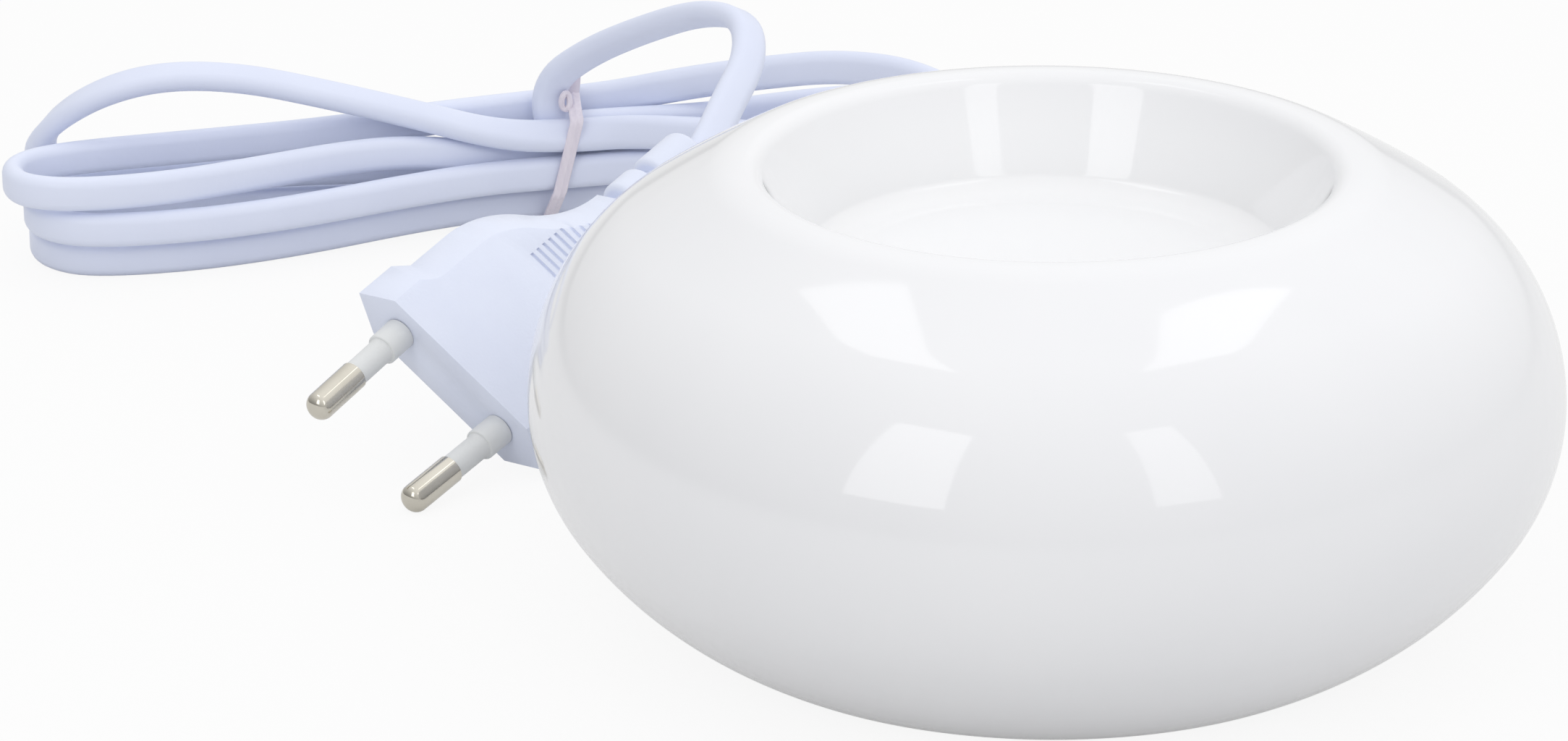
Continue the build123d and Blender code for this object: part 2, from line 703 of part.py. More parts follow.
def hank_stations():
    low, mid, top = LEVELS
    pitch = COLUMN_PITCH
    return [
        (JOIN_S, pitch, SUPPLY_LEVEL, LEFT),
        (-1, pitch, SUPPLY_LEVEL, LEFT),
        *left_turn(-79.8, -12.3, 12.3, top),
        (-40, -3.4, top, (1, 0.15)),
        (-12, -0.4, mid + TIE_LIFT, RIGHT),
        at_tie(0, 1, RIGHT),
        *right_turn(45, -5, 9, mid),
        at_tie(1, 1, LEFT),
        *left_turn(-76.5, -12, 12, mid),
        at_tie(-1, 1, RIGHT),
        *right_turn(45, -12, 16, mid),
        (24, 9.3, low, (-1, -0.25)),
        at_tie(1, 0, LEFT),
        *left_turn(-75, -8, 14, low),
        at_tie(0, 0, RIGHT),
        *right_turn(45, -9, 22, low),
        at_tie(2, 0, LEFT),
        (-48, 21, low, LEFT),
        (-64, 22.4, low + 0.6, None),
        (-75.5, 20.5, low + 4, None),
        (-81, 16, low + 10, None),
        (-78, 11, low + 16.5, None),
        (-70, 7.2, low + 21.8, None),
        (-60, 5.8, low + 23.8, None),
        (-48, 4.3, low + 22.8, None),
        (-35, 2.5, low + 19.5, None),
        (-22, 0.3, low + 15.9, None),
        (-10, -3.2, top + TIE_LIFT + 0.7, None),
        at_tie(-1, 2, RIGHT),
        *right_turn(45, -12, 12, top),
        (14, -0.8, top + TIE_LIFT - 0.2, LEFT),
        (JOIN_S + CORD_WIDTH, -0.2, top + TIE_LIFT, LEFT),
        (JOIN_S, 0, top + TIE_LIFT, LEFT),
    ]


def arc_or_line(start, heading, end):
    chord = end - start
    if heading.cross(chord).length < 1e-6 * chord.length:
        return Edge.make_line(start, end)
    return Edge.make_tangent_arc(start, heading, end)


def arc_pair(start, leave, end, arrive):
    chord = end - start
    both = leave + arrive
    spread = 2 * (1 - leave.dot(arrive))
    if spread < 1e-9:
        reach = chord.dot(chord) / (4 * chord.dot(arrive))
    else:
        along = chord.dot(both)
        reach = (math.sqrt(along**2 + spread * chord.dot(chord)) - along) / spread
    near, far = start + leave * reach, end - arrive * reach
    middle = (near + far) * 0.5
    if leave.cross(chord).length < 1e-6 and arrive.cross(chord).length < 1e-6:
        return [Edge.make_line(start, end)]
    between = (far - near).normalized()
    return [arc_or_line(start, leave, middle), arc_or_line(middle, between, end)]


def hank_lines():
    stations = hank_stations()
    spots = [hank_point(s, t, z) for s, t, z, _ in stations]
    headings = []
    for i, station in enumerate(stations):
        if station[3] is None:
            headings.append((spots[i + 1] - spots[i - 1]).normalized())
        else:
            headings.append(hank_heading(*station[3]))
    stretches = []
    for i in range(len(spots) - 1):
        if i == 0 or stations[i][0] == 0:
            stretches.append([])
        stretches[-1].extend(arc_pair(spots[i], headings[i], spots[i + 1], headings[i + 1]))
    return stretches


# Sections stand upright, so two strands are compared as upright slots.
def least_gap(edges, step=2.0):
    marks = []
    run = 0.0
    for edge in edges:
        count = max(2, round(edge.length / step))
        for i in range(count):
            spot = edge @ (i / count)
            marks.append((spot.X, spot.Y, spot.Z, run + edge.length * i / count))
        run += edge.length
    least = None
    tall = CORD_WIDTH - CORD_THICKNESS
    for i, a in enumerate(marks):
        for b in marks[i + 1:]:
            if b[3] - a[3] < 5 * CORD_WIDTH:
                continue
            drop = max(0.0, abs(a[2] - b[2]) - tall)
            gap = math.sqrt((a[0] - b[0]) ** 2 + (a[1] - b[1]) ** 2 + drop**2) - CORD_THICKNESS
            if least is None or gap < least[0]:
                least = (gap, a[:3], b[:3])
    return least


# A line straight above the path keeps the section upright all the way.
def upright_stretch(edges):
    line = Wire(edges)
    start = Plane(origin=line @ 0, x_dir=(0, 0, 1), z_dir=line % 0)
    section = start * SlotOverall(CORD_WIDTH, CORD_THICKNESS)
    return sweep(section, path=line, binormal=line.moved(Location((0, 0, 2 * CORD_WIDTH))))


def cord_hank():
    stretches = hank_lines()
    edges = [edge for stretch in stretches for edge in stretch]
    radii = [edge.radius for edge in edges if edge.geom_type == GeomType.CIRCLE]
    gap, a, b = least_gap(edges)
    print("hank least gap to itself", round(gap, 2), [round(v, 1) for v in a], [round(v, 1) for v in b])
    tubes = [upright_stretch(stretch) for stretch in stretches]
    hank = tubes[0].fuse(*tubes[1:])
    length = sum(edge.length for edge in edges)
    area = SlotOverall(CORD_WIDTH, CORD_THICKNESS).area
    print(
        "cord_hank length", round(length, 1),
        "tightest bend", round(min(radii), 2),
        "volume over section times length", round(hank.volume / (area * length), 4),
    )
    return hank


def supply_cord():
    points = [
        tuple(hank_point(JOIN_S, COLUMN_PITCH, SUPPLY_LEVEL)),
        tuple(hank_point(JOIN_S + 5.5, COLUMN_PITCH, SUPPLY_LEVEL)),
        (-47, 154.2, 19.9),
        (-36, 152, 22.1),
        (-24, 149.5, 24),
        (-12, 144.5, 23.8),
        (-2, 135.5, 20),
        (4.5, 123.5, 15.5),
        (4.5, 111, 15),
        (0, sleeve_end() + 8.5, EXIT_HEIGHT),
        (0, sleeve_end(), EXIT_HEIGHT),
    ]
    line, radii = route(points)
    return flat_cord("supply_cord", line, radii)


def plug_frame():
    yaw, pitch, roll = (math.radians(v) for v in (PLUG_YAW, PLUG_PITCH, PLUG_ROLL))
    pins = Vector(math.cos(pitch) * math.cos(yaw), math.cos(pitch) * math.sin(yaw), -math.sin(pitch))
    level = Vector(math.sin(yaw), -math.cos(yaw), 0)
    over = level.cross(pins)
    across = level * math.cos(roll) + over * math.sin(roll)
    up = across.cross(pins)
    low_pin = -across.Z * PIN_TIP_SPACING / 2 + pins.Z * (PIN_LENGTH - PIN_RADIUS) - PIN_RADIUS
    return Plane(origin=(PLUG_X, PLUG_Y, -low_pin), x_dir=across, z_dir=up)


def plug_lead():
    frame = plug_frame()
    end = RELIEF_SEGMENTS[-1][1]
    level = LEVELS[2] + TIE_LIFT
    points = [
        tuple(hank_point(JOIN_S, 0, level)),
        tuple(hank_point(JOIN_S - 7.6, 0, level)),
        tuple(hank_point(JOIN_S - 7.6, 0, level + 7.6)),
        (-62.5, 144.2, 27.4),
        (-54.2, 137, 32.4),
        (-45, 127.5, 38),
        (-38.6, 118.5, 39.5),
        (-37.4, 109.5, 37),
        (-39.2, 100.5, 33.6),
        tuple(frame.from_local_coords((0, -end - 5, 0))),
        tuple(frame.from_local_coords((0, -end, 0))),
    ]
    line, radii = route(points)
    return flat_cord("plug_lead", line, radii)


def cord_tie():
    pitch, half = COLUMN_PITCH, CORD_THICKNESS / 2
    front, back = -pitch - half - 0.3, 2 * pitch + half + 0.3
    low = TIE_LIFT - 0.28
    top = SUPPLY_LEVEL + CORD_WIDTH / 2
    corners = [
        (-half - 0.3, low),
        (back, low),
        (back, LEVELS[0] + TIE_LIFT + CORD_WIDTH / 2 + 0.3),
        (pitch + half + 0.2, top + 0.1),
        (pitch - 0.9, top + 0.35),
        (front, LEVELS[2] + TIE_LIFT + CORD_WIDTH / 2 + 0.3),
        (front, LEVELS[1] + TIE_LIFT - CORD_WIDTH / 2 - 0.3),
    ]
    inner = make_face(FilletPolyline(*corners, radius=1.2, close=True))
    band = offset(inner, amount=TIE_THICKNESS) - inner
    place = Plane(
        origin=hank_point(TIE_OFFSET - TIE_WIDTH / 2, 0, 0),
        x_dir=hank_heading(*BACK),
        z_dir=hank_heading(*RIGHT),
    )
    tie = extrude(place * band, amount=TIE_WIDTH)
    knot_z = top + 0.35 + KNOT_RADIUS
    knot_s = TIE_OFFSET + KNOT_SHIFT
    ends = [hank_point(knot_s + side * KNOT_LENGTH / 2, pitch - 1.0, knot_z) for side in (-1, 1)]
    tie += rod(KNOT_RADIUS, *[tuple(e) for e in ends])
    for e in ends:
        tie += Pos(*tuple(e)) * Sphere(KNOT_RADIUS)
    return tie


def plug_outline():
    drop = BACK_HALF_WIDTH - NECK_HALF_WIDTH
    reach = NECK_AT - BACK_STRAIGHT
    radius = (reach * reach + drop * drop) / (4 * drop)
    turn = math.degrees(math.asin(reach / 2 / radius))
    over = 2 * PLUG_HALF_HEIGHT
    side = Polyline(
        (PLUG_HALF_WIDTH, over),
        (PLUG_HALF_WIDTH, -HEAD_LENGTH),
        (BACK_HALF_WIDTH, -HEAD_LENGTH - HEAD_STEP),
        (BACK_HALF_WIDTH, -BACK_STRAIGHT),
    )
    curve, neck = arc_chain((BACK_HALF_WIDTH, -BACK_STRAIGHT), (0, -1), [(radius, -turn), (radius, turn)])
    tail = Line(neck, (NECK_HALF_WIDTH, -NECK_AT - over))
    half = side.edges() + curve + tail.edges()
    other = [edge.mirror(Plane.YZ) for edge in half]
    ends = [
        Edge.make_line((-PLUG_HALF_WIDTH, over), (PLUG_HALF_WIDTH, over)),
        Edge.make_line((-NECK_HALF_WIDTH, -NECK_AT - over), (NECK_HALF_WIDTH, -NECK_AT - over)),
    ]
    return make_face(half + other + ends)


def plug_body():
    upper = extrude(plug_outline(), amount=PLUG_HALF_HEIGHT, taper=PLUG_BEVEL)
    moulding = upper + upper.mirror(Plane.XY)
    moulding &= box((-PLUG_HALF_WIDTH, -NECK_AT, -PLUG_HALF_HEIGHT), (PLUG_HALF_WIDTH, 0, PLUG_HALF_HEIGHT))
    for i in range(GROOVE_COUNT):
        y = -GROOVE_FIRST - GROOVE_PITCH * i
        for side in (-1, 1):
            floor = side * (PLUG_HALF_HEIGHT - GROOVE_DEPTH)
            heights = sorted((floor, side * (PLUG_HALF_HEIGHT + GROOVE_DEPTH)))
            moulding -= box(
                (-GROOVE_LENGTH / 2, y - GROOVE_WIDTH / 2, heights[0]),
                (GROOVE_LENGTH / 2, y + GROOVE_WIDTH / 2, heights[1]),
            )
    back = Plane(origin=(0, 0, 0), x_dir=(1, 0, 0), z_dir=(0, -1, 0))
    end = RELIEF_SEGMENTS[-1][1]
    spine = back * Pos(0, 0, NECK_AT - SPINE_SINK) * SlotOverall(SPINE_WIDTH, SPINE_HEIGHT)
    moulding += extrude(spine, amount=end - NECK_AT)
    for start, stop in RELIEF_SEGMENTS:
        segment = extrude(
            back * Pos(0, 0, start) * SlotOverall(SEGMENT_WIDTH, SEGMENT_HEIGHT), amount=stop - start
        )
        moulding += fillet(segment.edges().filter_by(Plane.XZ), SEGMENT_ROUND)
    for side in (-1, 1):
        moulding -= pin_place(side) * upright(PIN_CORE_RADIUS, -PIN_ROOT, PIN_CORE_RADIUS)
    return moulding


def pin_place(side):
    lean = (PIN_TIP_SPACING - PIN_SPACING) / 2 / PIN_LENGTH
    return Plane(
        origin=(side * PIN_SPACING / 2, 0, 0), x_dir=(0, 0, 1), z_dir=Vector(side * lean, 1, 0).normalized()
    )


def upright(radius, low, high):
    return Pos(0, 0, (low + high) / 2) * Cylinder(radius, high - low)


def plug_pins():
    pins = []
    for side in (-1, 1):
        contact = upright(PIN_RADIUS, PIN_SLEEVE_LENGTH, PIN_LENGTH)
        contact = fillet(contact.edges().sort_by(Axis.Z)[-1], PIN_ROUND)
        core = upright(PIN_CORE_RADIUS, PIN_SEAT_GAP - PIN_ROOT, PIN_SLEEVE_LENGTH)
        pins.append(pin_place(side) * (contact + core))
    return pins


def pin_sleeves():
    sleeves = []
    for side in (-1, 1):
        tube = upright(PIN_RADIUS, PIN_SEAT_GAP, PIN_SLEEVE_LENGTH)
        tube += upright(PIN_COLLAR_RADIUS, PIN_SEAT_GAP, PIN_COLLAR_LENGTH)
        sleeves.append(pin_place(side) * (tube - upright(PIN_CORE_RADIUS, 0, PIN_SLEEVE_LENGTH)))
    return sleeves


def in_plug(shapes):
    frame = plug_frame()
    return [frame * shape for shape in shapes]


save("ceramic_body", ceramic_body())
save("base_cover", base_cover())
save("rubber_feet", *rubber_feet())
save("clamp_bar", clamp_bar())
save("cover_screws", *cover_screws())
save("heater_bridge", heater_bridge())
save("bridge_screws", *bridge_screws())
save("heater_plate", heater_plate())
save("heating_element", heating_element())
save(
    "insulation_disc",
    drilled_disc(ELEMENT_DIAMETER / 2, STUD_RADIUS + STUD_CLEARANCE, INSULATION_UNDER, ELEMENT_UNDER),
)
save(
    "stud_washer",
    drilled_disc(
        WASHER_DIAMETER / 2, STUD_RADIUS + STUD_CLEARANCE, BRIDGE_UNDER - WASHER_THICKNESS, BRIDGE_UNDER
    ),
)
save("stud_nut", stud_nut())
save("thermal_fuse", thermal_fuse())
save("fuse_sleeve", fuse_sleeve())
save("fuse_clip", fuse_clip())
save("terminal_block", terminal_block())
save("terminal_screws", *terminal_screws())
save("supply_cores", *supply_cores())
save("live_wire", live_wire())
save("neutral_wire", neutral_wire())
save("jumper_wire", jumper_wire())
save("cord_grommet", cord_grommet())
save("inner_cord", inner_cord())
save("cord_clamp", cord_clamp())
save("clamp_screws", *clamp_screws())
save("supply_cord", supply_cord())
save("cord_hank", cord_hank())
save("plug_lead", plug_lead())
save("cord_tie", cord_tie())
save("plug_body", *in_plug([plug_body()]))
save("plug_pins", *in_plug(plug_pins()))
save("pin_sleeves", *in_plug(pin_sleeves()))
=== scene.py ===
import json
import math

import bmesh
import bpy
from mathutils import Matrix, Quaternion, Vector

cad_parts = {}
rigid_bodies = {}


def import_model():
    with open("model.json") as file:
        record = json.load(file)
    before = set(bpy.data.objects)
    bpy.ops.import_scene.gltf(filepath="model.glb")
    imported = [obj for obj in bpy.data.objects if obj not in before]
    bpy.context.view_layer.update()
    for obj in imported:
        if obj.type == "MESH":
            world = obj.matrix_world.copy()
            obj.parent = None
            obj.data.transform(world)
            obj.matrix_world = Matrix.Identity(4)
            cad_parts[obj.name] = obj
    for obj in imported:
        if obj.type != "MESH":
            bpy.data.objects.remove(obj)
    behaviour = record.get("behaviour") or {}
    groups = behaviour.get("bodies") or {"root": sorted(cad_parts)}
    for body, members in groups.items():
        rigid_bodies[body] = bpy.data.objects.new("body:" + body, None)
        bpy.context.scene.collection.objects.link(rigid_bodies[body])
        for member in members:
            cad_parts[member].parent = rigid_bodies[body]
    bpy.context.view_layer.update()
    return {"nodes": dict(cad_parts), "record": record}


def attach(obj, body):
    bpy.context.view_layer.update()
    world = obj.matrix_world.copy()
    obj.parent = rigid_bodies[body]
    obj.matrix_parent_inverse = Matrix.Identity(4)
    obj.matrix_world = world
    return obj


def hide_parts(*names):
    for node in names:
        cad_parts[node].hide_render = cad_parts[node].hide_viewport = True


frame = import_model()
scene = bpy.context.scene
mm = 0.001
crease = 40  # degrees from which an edge is left sharp
print("frame loaded,", len(frame["nodes"]), "nodes")


# node trees, for shaders and for geometry alike

class Sock:
    def __init__(self, tree, socket):
        self.tree = tree
        self.socket = socket

    def maths(self, operation, other, flip=False):
        pair = (other, self) if flip else (self, other)
        return self.tree.node("ShaderNodeMath", {"operation": operation}, {0: pair[0], 1: pair[1]})

    def __add__(self, other):
        return self.maths("ADD", other)

    def __radd__(self, other):
        return self.maths("ADD", other, True)

    def __sub__(self, other):
        return self.maths("SUBTRACT", other)

    def __rsub__(self, other):
        return self.maths("SUBTRACT", other, True)

    def __mul__(self, other):
        return self.maths("MULTIPLY", other)

    def __rmul__(self, other):
        return self.maths("MULTIPLY", other, True)

    def __truediv__(self, other):
        return self.maths("DIVIDE", other)

    def __rtruediv__(self, other):
        return self.maths("DIVIDE", other, True)


class Tree:
    def __init__(self, tree):
        self.tree = tree

    def node(self, kind, settings=None, sockets=None, out=0):
        made = self.tree.nodes.new(kind)
        for key, value in (settings or {}).items():
            setattr(made, key, value)
        for key, value in (sockets or {}).items():
            if isinstance(value, Sock):
                self.tree.links.new(value.socket, made.inputs[key])
            else:
                made.inputs[key].default_value = value
        return Sock(self, made.outputs[out])

    def also(self, sock, out):
        return Sock(self, sock.socket.node.outputs[out])


def rgb(r, g, b):
    return (r, g, b, 1)


class Finish(Tree):
    def __init__(self, name, **fixed):
        self.material = bpy.data.materials.new(name)
        self.material.use_nodes = True
        super().__init__(self.material.node_tree)
        self.shader = self.tree.nodes["Principled BSDF"]
        for key, value in fixed.items():
            self.shader.inputs[key.replace("_", " ")].default_value = value
        self.place = self.node("ShaderNodeTexCoord", out="Object")

    def feed(self, key, sock):
        self.tree.links.new(sock.socket, self.shader.inputs[key])

    def stretched(self, x, y, z):
        return self.node("ShaderNodeMapping", None, {"Vector": self.place, "Scale": (x, y, z)})

    def outward(self, where):
        return self.node("ShaderNodeVectorMath", {"operation": "LENGTH"}, {0: where}, out="Value")

    def noise(self, scale, detail=2.0, where=None):
        return self.node("ShaderNodeTexNoise", None, {
            "Vector": where or self.place, "Scale": scale, "Detail": detail})

    def cells(self, scale):
        return self.node("ShaderNodeTexVoronoi", None, {"Vector": self.place, "Scale": scale})

    def between(self, sock, span, ends=(0.0, 1.0)):
        return self.node("ShaderNodeMapRange", None, {
            "Value": sock, "From Min": span[0], "From Max": span[1], "To Min": ends[0], "To Max": ends[1]})

    def mix(self, share, first, second):
        return self.node("ShaderNodeMix", {"data_type": "RGBA"}, {0: share, 6: first, 7: second}, out=2)

    def bump(self, height, strength, depth):
        self.feed("Normal", self.node("ShaderNodeBump", None, {
            "Height": height, "Strength": strength, "Distance": depth}))


# finishes: a scale is a noise's own, a band is the part of its range that is used, depths are in metres

noiseBand = (0.3, 0.7)


def whiteGlaze():
    # inside the dish the glaze colour is lightened, which is painted light
    look = dict(white=rgb(0.876, 0.88, 0.90), shade=rgb(0.852, 0.857, 0.88), cloudScale=22,
                cloudBand=(0.35, 0.7), paintedLight=rgb(0.902, 0.906, 0.92), paintedLightEdge=(0.033, 0.0375),
                smearScale=60, rough=(0.05, 0.09), dimpleScale=55, dimple=0.06, depth=0.001)
    f = Finish("whiteGlaze", IOR=1.5, Coat_Weight=0.35, Coat_Roughness=0.03)
    cloud = f.between(f.noise(look["cloudScale"], 3), look["cloudBand"])
    glaze = f.mix(cloud, look["white"], look["shade"])
    paintedLightShare = f.between(f.outward(f.stretched(1, 1, 0)), look["paintedLightEdge"], (1.0, 0.0))
    f.feed("Base Color", f.mix(paintedLightShare, glaze, look["paintedLight"]))  # painted light: the glaze colour is lighter inside the dish, standing in for the light the dish gets
    f.feed("Roughness", f.between(f.noise(look["smearScale"]), noiseBand, look["rough"]))
    f.bump(f.noise(look["dimpleScale"], 1), look["dimple"], look["depth"])
    return f.material


def moulded(name, light, dark, rough, grain=2600):
    look = dict(cloudScale=70, smearScale=160, smoother=0.05, duller=0.08, grainShare=0.5,
                waveScale=240, waveShare=0.5, bump=0.08, depth=0.0004)
    f = Finish(name, IOR=1.46)
    f.feed("Base Color", f.mix(f.between(f.noise(look["cloudScale"], 3), noiseBand), light, dark))
    ends = (rough - look["smoother"], rough + look["duller"])
    f.feed("Roughness", f.between(f.noise(look["smearScale"], 3), noiseBand, ends))
    uneven = f.cells(grain) * look["grainShare"] + f.noise(look["waveScale"]) * look["waveShare"]
    f.bump(uneven, look["bump"], look["depth"])
    return f.material


def cordSheath():
    look = dict(clean=rgb(0.765, 0.81, 0.96), soiled=rgb(0.725, 0.77, 0.93), soilScale=45,
                soilBand=(0.35, 0.75), smearScale=300, rough=(0.34, 0.48), fineScale=900, fineShare=0.4,
                waveScale=130, waveShare=0.6, bump=0.07, depth=0.0005)
    f = Finish("cordSheath", IOR=1.47)
    soil = f.between(f.noise(look["soilScale"], 4), look["soilBand"])
    f.feed("Base Color", f.mix(soil, look["clean"], look["soiled"]))
    f.feed("Roughness", f.between(f.noise(look["smearScale"]), noiseBand, look["rough"]))
    fine, wave = f.noise(look["fineScale"]), f.noise(look["waveScale"], 1)
    f.bump(fine * look["fineShare"] + wave * look["waveShare"], look["bump"], look["depth"])
    return f.material


def tiePaper():
    look = dict(light=rgb(0.82, 0.765, 0.84), dark=rgb(0.755, 0.70, 0.785), fibreScale=1500, upright=0.25,
                colourBand=(0.3, 0.75), roughBand=(0.2, 0.8), rough=(0.42, 0.62), bump=0.25, depth=0.0002)
    f = Finish("tiePaper", IOR=1.45)
    fibre = f.noise(look["fibreScale"], 3, f.stretched(1, 1, look["upright"]))
    f.feed("Base Color", f.mix(f.between(fibre, look["colourBand"]), look["light"], look["dark"]))
    f.feed("Roughness", f.between(fibre, look["roughBand"], look["rough"]))
    f.bump(fibre, look["bump"], look["depth"])
    return f.material


def metal(name, light, dark, rough, lines):
    look = dict(cloudScale=90, upright=0.04, lineBand=(0.25, 0.75), smoother=0.06, duller=0.1,
                bump=0.3, depth=0.00008)
    f = Finish(name, Metallic=1.0)
    drawn = f.noise(lines, 2, f.stretched(1, 1, look["upright"]))
    f.feed("Base Color", f.mix(f.between(f.noise(look["cloudScale"], 3), noiseBand), light, dark))
    ends = (rough - look["smoother"], rough + look["duller"])
    f.feed("Roughness", f.between(drawn, look["lineBand"], ends))
    f.bump(drawn, look["bump"], look["depth"])
    return f.material


def pinNickel():
    look = dict(light=rgb(0.67, 0.64, 0.57), dark=rgb(0.58, 0.55, 0.48), cloudScale=130, smearScale=420,
                rough=(0.08, 0.13), bumpScale=700, bump=0.02, depth=0.0001)
    f = Finish("pinNickel", Metallic=1.0)
    cloud = f.between(f.noise(look["cloudScale"], 3), noiseBand)
    f.feed("Base Color", f.mix(cloud, look["light"], look["dark"]))
    f.feed("Roughness", f.between(f.noise(look["smearScale"]), noiseBand, look["rough"]))
    f.bump(f.noise(look["bumpScale"]), look["bump"], look["depth"])
    return f.material


def zincSteel():
    look = dict(light=rgb(0.60, 0.61, 0.62), dark=rgb(0.50, 0.51, 0.54), spangle=260, rough=0.3, duller=0.12,
                pitScale=700, bump=0.12, depth=0.0002)
    f = Finish("zincSteel", Metallic=1.0)
    shade = f.node("ShaderNodeSeparateColor", None, {0: f.also(f.cells(look["spangle"]), "Color")})
    f.feed("Base Color", f.mix(shade, look["light"], look["dark"]))
    f.feed("Roughness", shade * look["duller"] + look["rough"])
    f.bump(f.noise(look["pitScale"], 3), look["bump"], look["depth"])
    return f.material


def fibreBoard():
    look = dict(light=rgb(0.66, 0.62, 0.54), dark=rgb(0.48, 0.44, 0.37), flakeScale=420,
                stretch=(1, 1.6, 0.4), colourBand=(0.35, 0.65), roughBand=(0.2, 0.8), rough=(0.7, 0.92),
                bump=0.4, depth=0.0003)
    f = Finish("fibreBoard", IOR=1.45)
    flake = f.noise(look["flakeScale"], 5, f.stretched(*look["stretch"]))
    f.feed("Base Color", f.mix(f.between(flake, look["colourBand"]), look["light"], look["dark"]))
    f.feed("Roughness", f.between(flake, look["roughBand"], look["rough"]))
    f.bump(flake, look["bump"], look["depth"])
    return f.material


def braidedSleeve():
    look = dict(gap=rgb(0.55, 0.53, 0.48), yarn=rgb(0.78, 0.76, 0.70), bandScale=420.0,
                rough=0.85, smoother=0.15, bump=0.5, depth=0.0002)
    f = Finish("braidedSleeve", IOR=1.45)

    def bands(where):
        return f.node("ShaderNodeTexWave", {"bands_direction": "DIAGONAL"}, {
            "Vector": where, "Scale": look["bandScale"]}, out="Fac")

    weave = bands(f.place) * bands(f.stretched(1, -1, 1))
    f.feed("Base Color", f.mix(weave, look["gap"], look["yarn"]))
    f.feed("Roughness", look["rough"] - weave * look["smoother"])
    f.bump(weave, look["bump"], look["depth"])
    return f.material


def footRubber():
    look = dict(clean=rgb(0.56, 0.56, 0.55), dusty=rgb(0.66, 0.66, 0.65), dustScale=240, dustBand=(0.4, 0.75),
                rough=0.7, duller=0.15, grainScale=1600, bump=0.2, depth=0.0002)
    f = Finish("footRubber", IOR=1.5)
    dust = f.between(f.noise(look["dustScale"], 4), look["dustBand"])
    f.feed("Base Color", f.mix(dust, look["clean"], look["dusty"]))
    f.feed("Roughness", dust * look["duller"] + look["rough"])
    f.bump(f.noise(look["grainScale"]), look["bump"], look["depth"])
    return f.material


finishes = {
    "white_glaze": whiteGlaze(),
    "white_cover": moulded("coverPlastic", rgb(0.78, 0.78, 0.77), rgb(0.73, 0.73, 0.72), 0.45),
    "foot_rubber": footRubber(),
    "zinc_steel": zincSteel(),
    "heater_aluminium": metal("heaterAluminium", rgb(0.80, 0.81, 0.82), rgb(0.70, 0.71, 0.73), 0.36, 900),
    "element_ceramic": moulded("elementCeramic", rgb(0.72, 0.70, 0.64), rgb(0.60, 0.57, 0.50), 0.7, 900),
    "insulation_board": fibreBoard(),
    "fuse_metal": metal("fuseMetal", rgb(0.74, 0.71, 0.66), rgb(0.62, 0.60, 0.56), 0.3, 1400),
    "sleeve_fibre": braidedSleeve(),
    "block_plastic": moulded("blockPlastic", rgb(0.70, 0.69, 0.64), rgb(0.62, 0.61, 0.56), 0.5, 1500),
    "screw_brass": metal("screwBrass", rgb(0.72, 0.56, 0.29), rgb(0.58, 0.44, 0.22), 0.3, 1500),
    "wire_white": moulded("wireSheath", rgb(0.78, 0.78, 0.76), rgb(0.70, 0.70, 0.68), 0.4, 3000),
    "cord_white": cordSheath(),
    "grommet_white": moulded("grommetVinyl", rgb(0.74, 0.76, 0.82), rgb(0.68, 0.70, 0.77), 0.45),
    "tie_pale": tiePaper(),
    "plug_white": moulded("plugVinyl", rgb(0.795, 0.84, 0.975), rgb(0.76, 0.805, 0.95), 0.36),
    "sleeve_grey": moulded("sleeveNylon", rgb(0.77, 0.785, 0.79), rgb(0.72, 0.735, 0.745), 0.42),
    "pin_nickel": pinNickel(),
}
for entry in frame["record"]["subparts"]:
    carried = frame["nodes"][entry["node"]]
    carried.data.materials.clear()
    carried.data.materials.append(finishes[entry["material_slot"]])
print("finishes made:", len(finishes))


# making pieces

def addPiece(name, mesh, slot, *stands):
    if not mesh.materials:
        mesh.materials.append(finishes[slot])
    piece = bpy.data.objects.new(name, mesh)
    scene.collection.objects.link(piece)
    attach(piece, "root")
    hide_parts(*stands)
    return piece


def tidyMesh(mesh, angle=crease, merge=1e-6):
    bm = bmesh.new()
    bm.from_mesh(mesh)
    bmesh.ops.remove_doubles(bm, verts=bm.verts, dist=merge)
    bmesh.ops.recalc_face_normals(bm, faces=bm.faces)
    for face in bm.faces:
        face.smooth = True
    bm.to_mesh(mesh)
    bm.free()
    mesh.set_sharp_from_angle(angle=math.radians(angle))
    return mesh


def plainMesh(mesh, name, *modifiers):
    holder = bpy.data.objects.new(name, mesh)
    scene.collection.objects.link(holder)
    for kind, settings in modifiers:
        step = holder.modifiers.new(kind.lower(), kind)
        for key, value in settings.items():
            if key == "inputs":
                for item in step.node_group.interface.items_tree:
                    if item.name in value:
                        step[item.identifier] = value[item.name]
            else:
                setattr(step, key, value)
    view = bpy.context.evaluated_depsgraph_get()
    view.update()
    made = bpy.data.meshes.new_from_object(holder.evaluated_get(view))
    bpy.data.objects.remove(holder)
    made.name = name
    return made


def outlineMesh(name, points):
    mesh = bpy.data.meshes.new(name)
    mesh.from_pydata([(r, 0, z) for r, z in points], [(i, i + 1) for i in range(len(points) - 1)], [])
    return mesh


# rows of points with a section's count in each, joined to a tube from the point called first on
def ringFaces(first, rows, count, closed):
    faces = []
    for i in range(rows if closed else rows - 1):
        here, there = first + i * count, first + (i + 1) % rows * count
        for j in range(count):
            k = (j + 1) % count
            faces.append((here + j, here + k, there + k, there + j))
    if not closed:
        last = first + (rows - 1) * count
        faces += [tuple(range(first, first + count)), tuple(range(last, last + count))]
    return faces


# the waver's noise, and how near points are merged at a turned shape's seam
lathe = dict(climb=20, scale=0.8, middle=0.5, merge=1e-6)


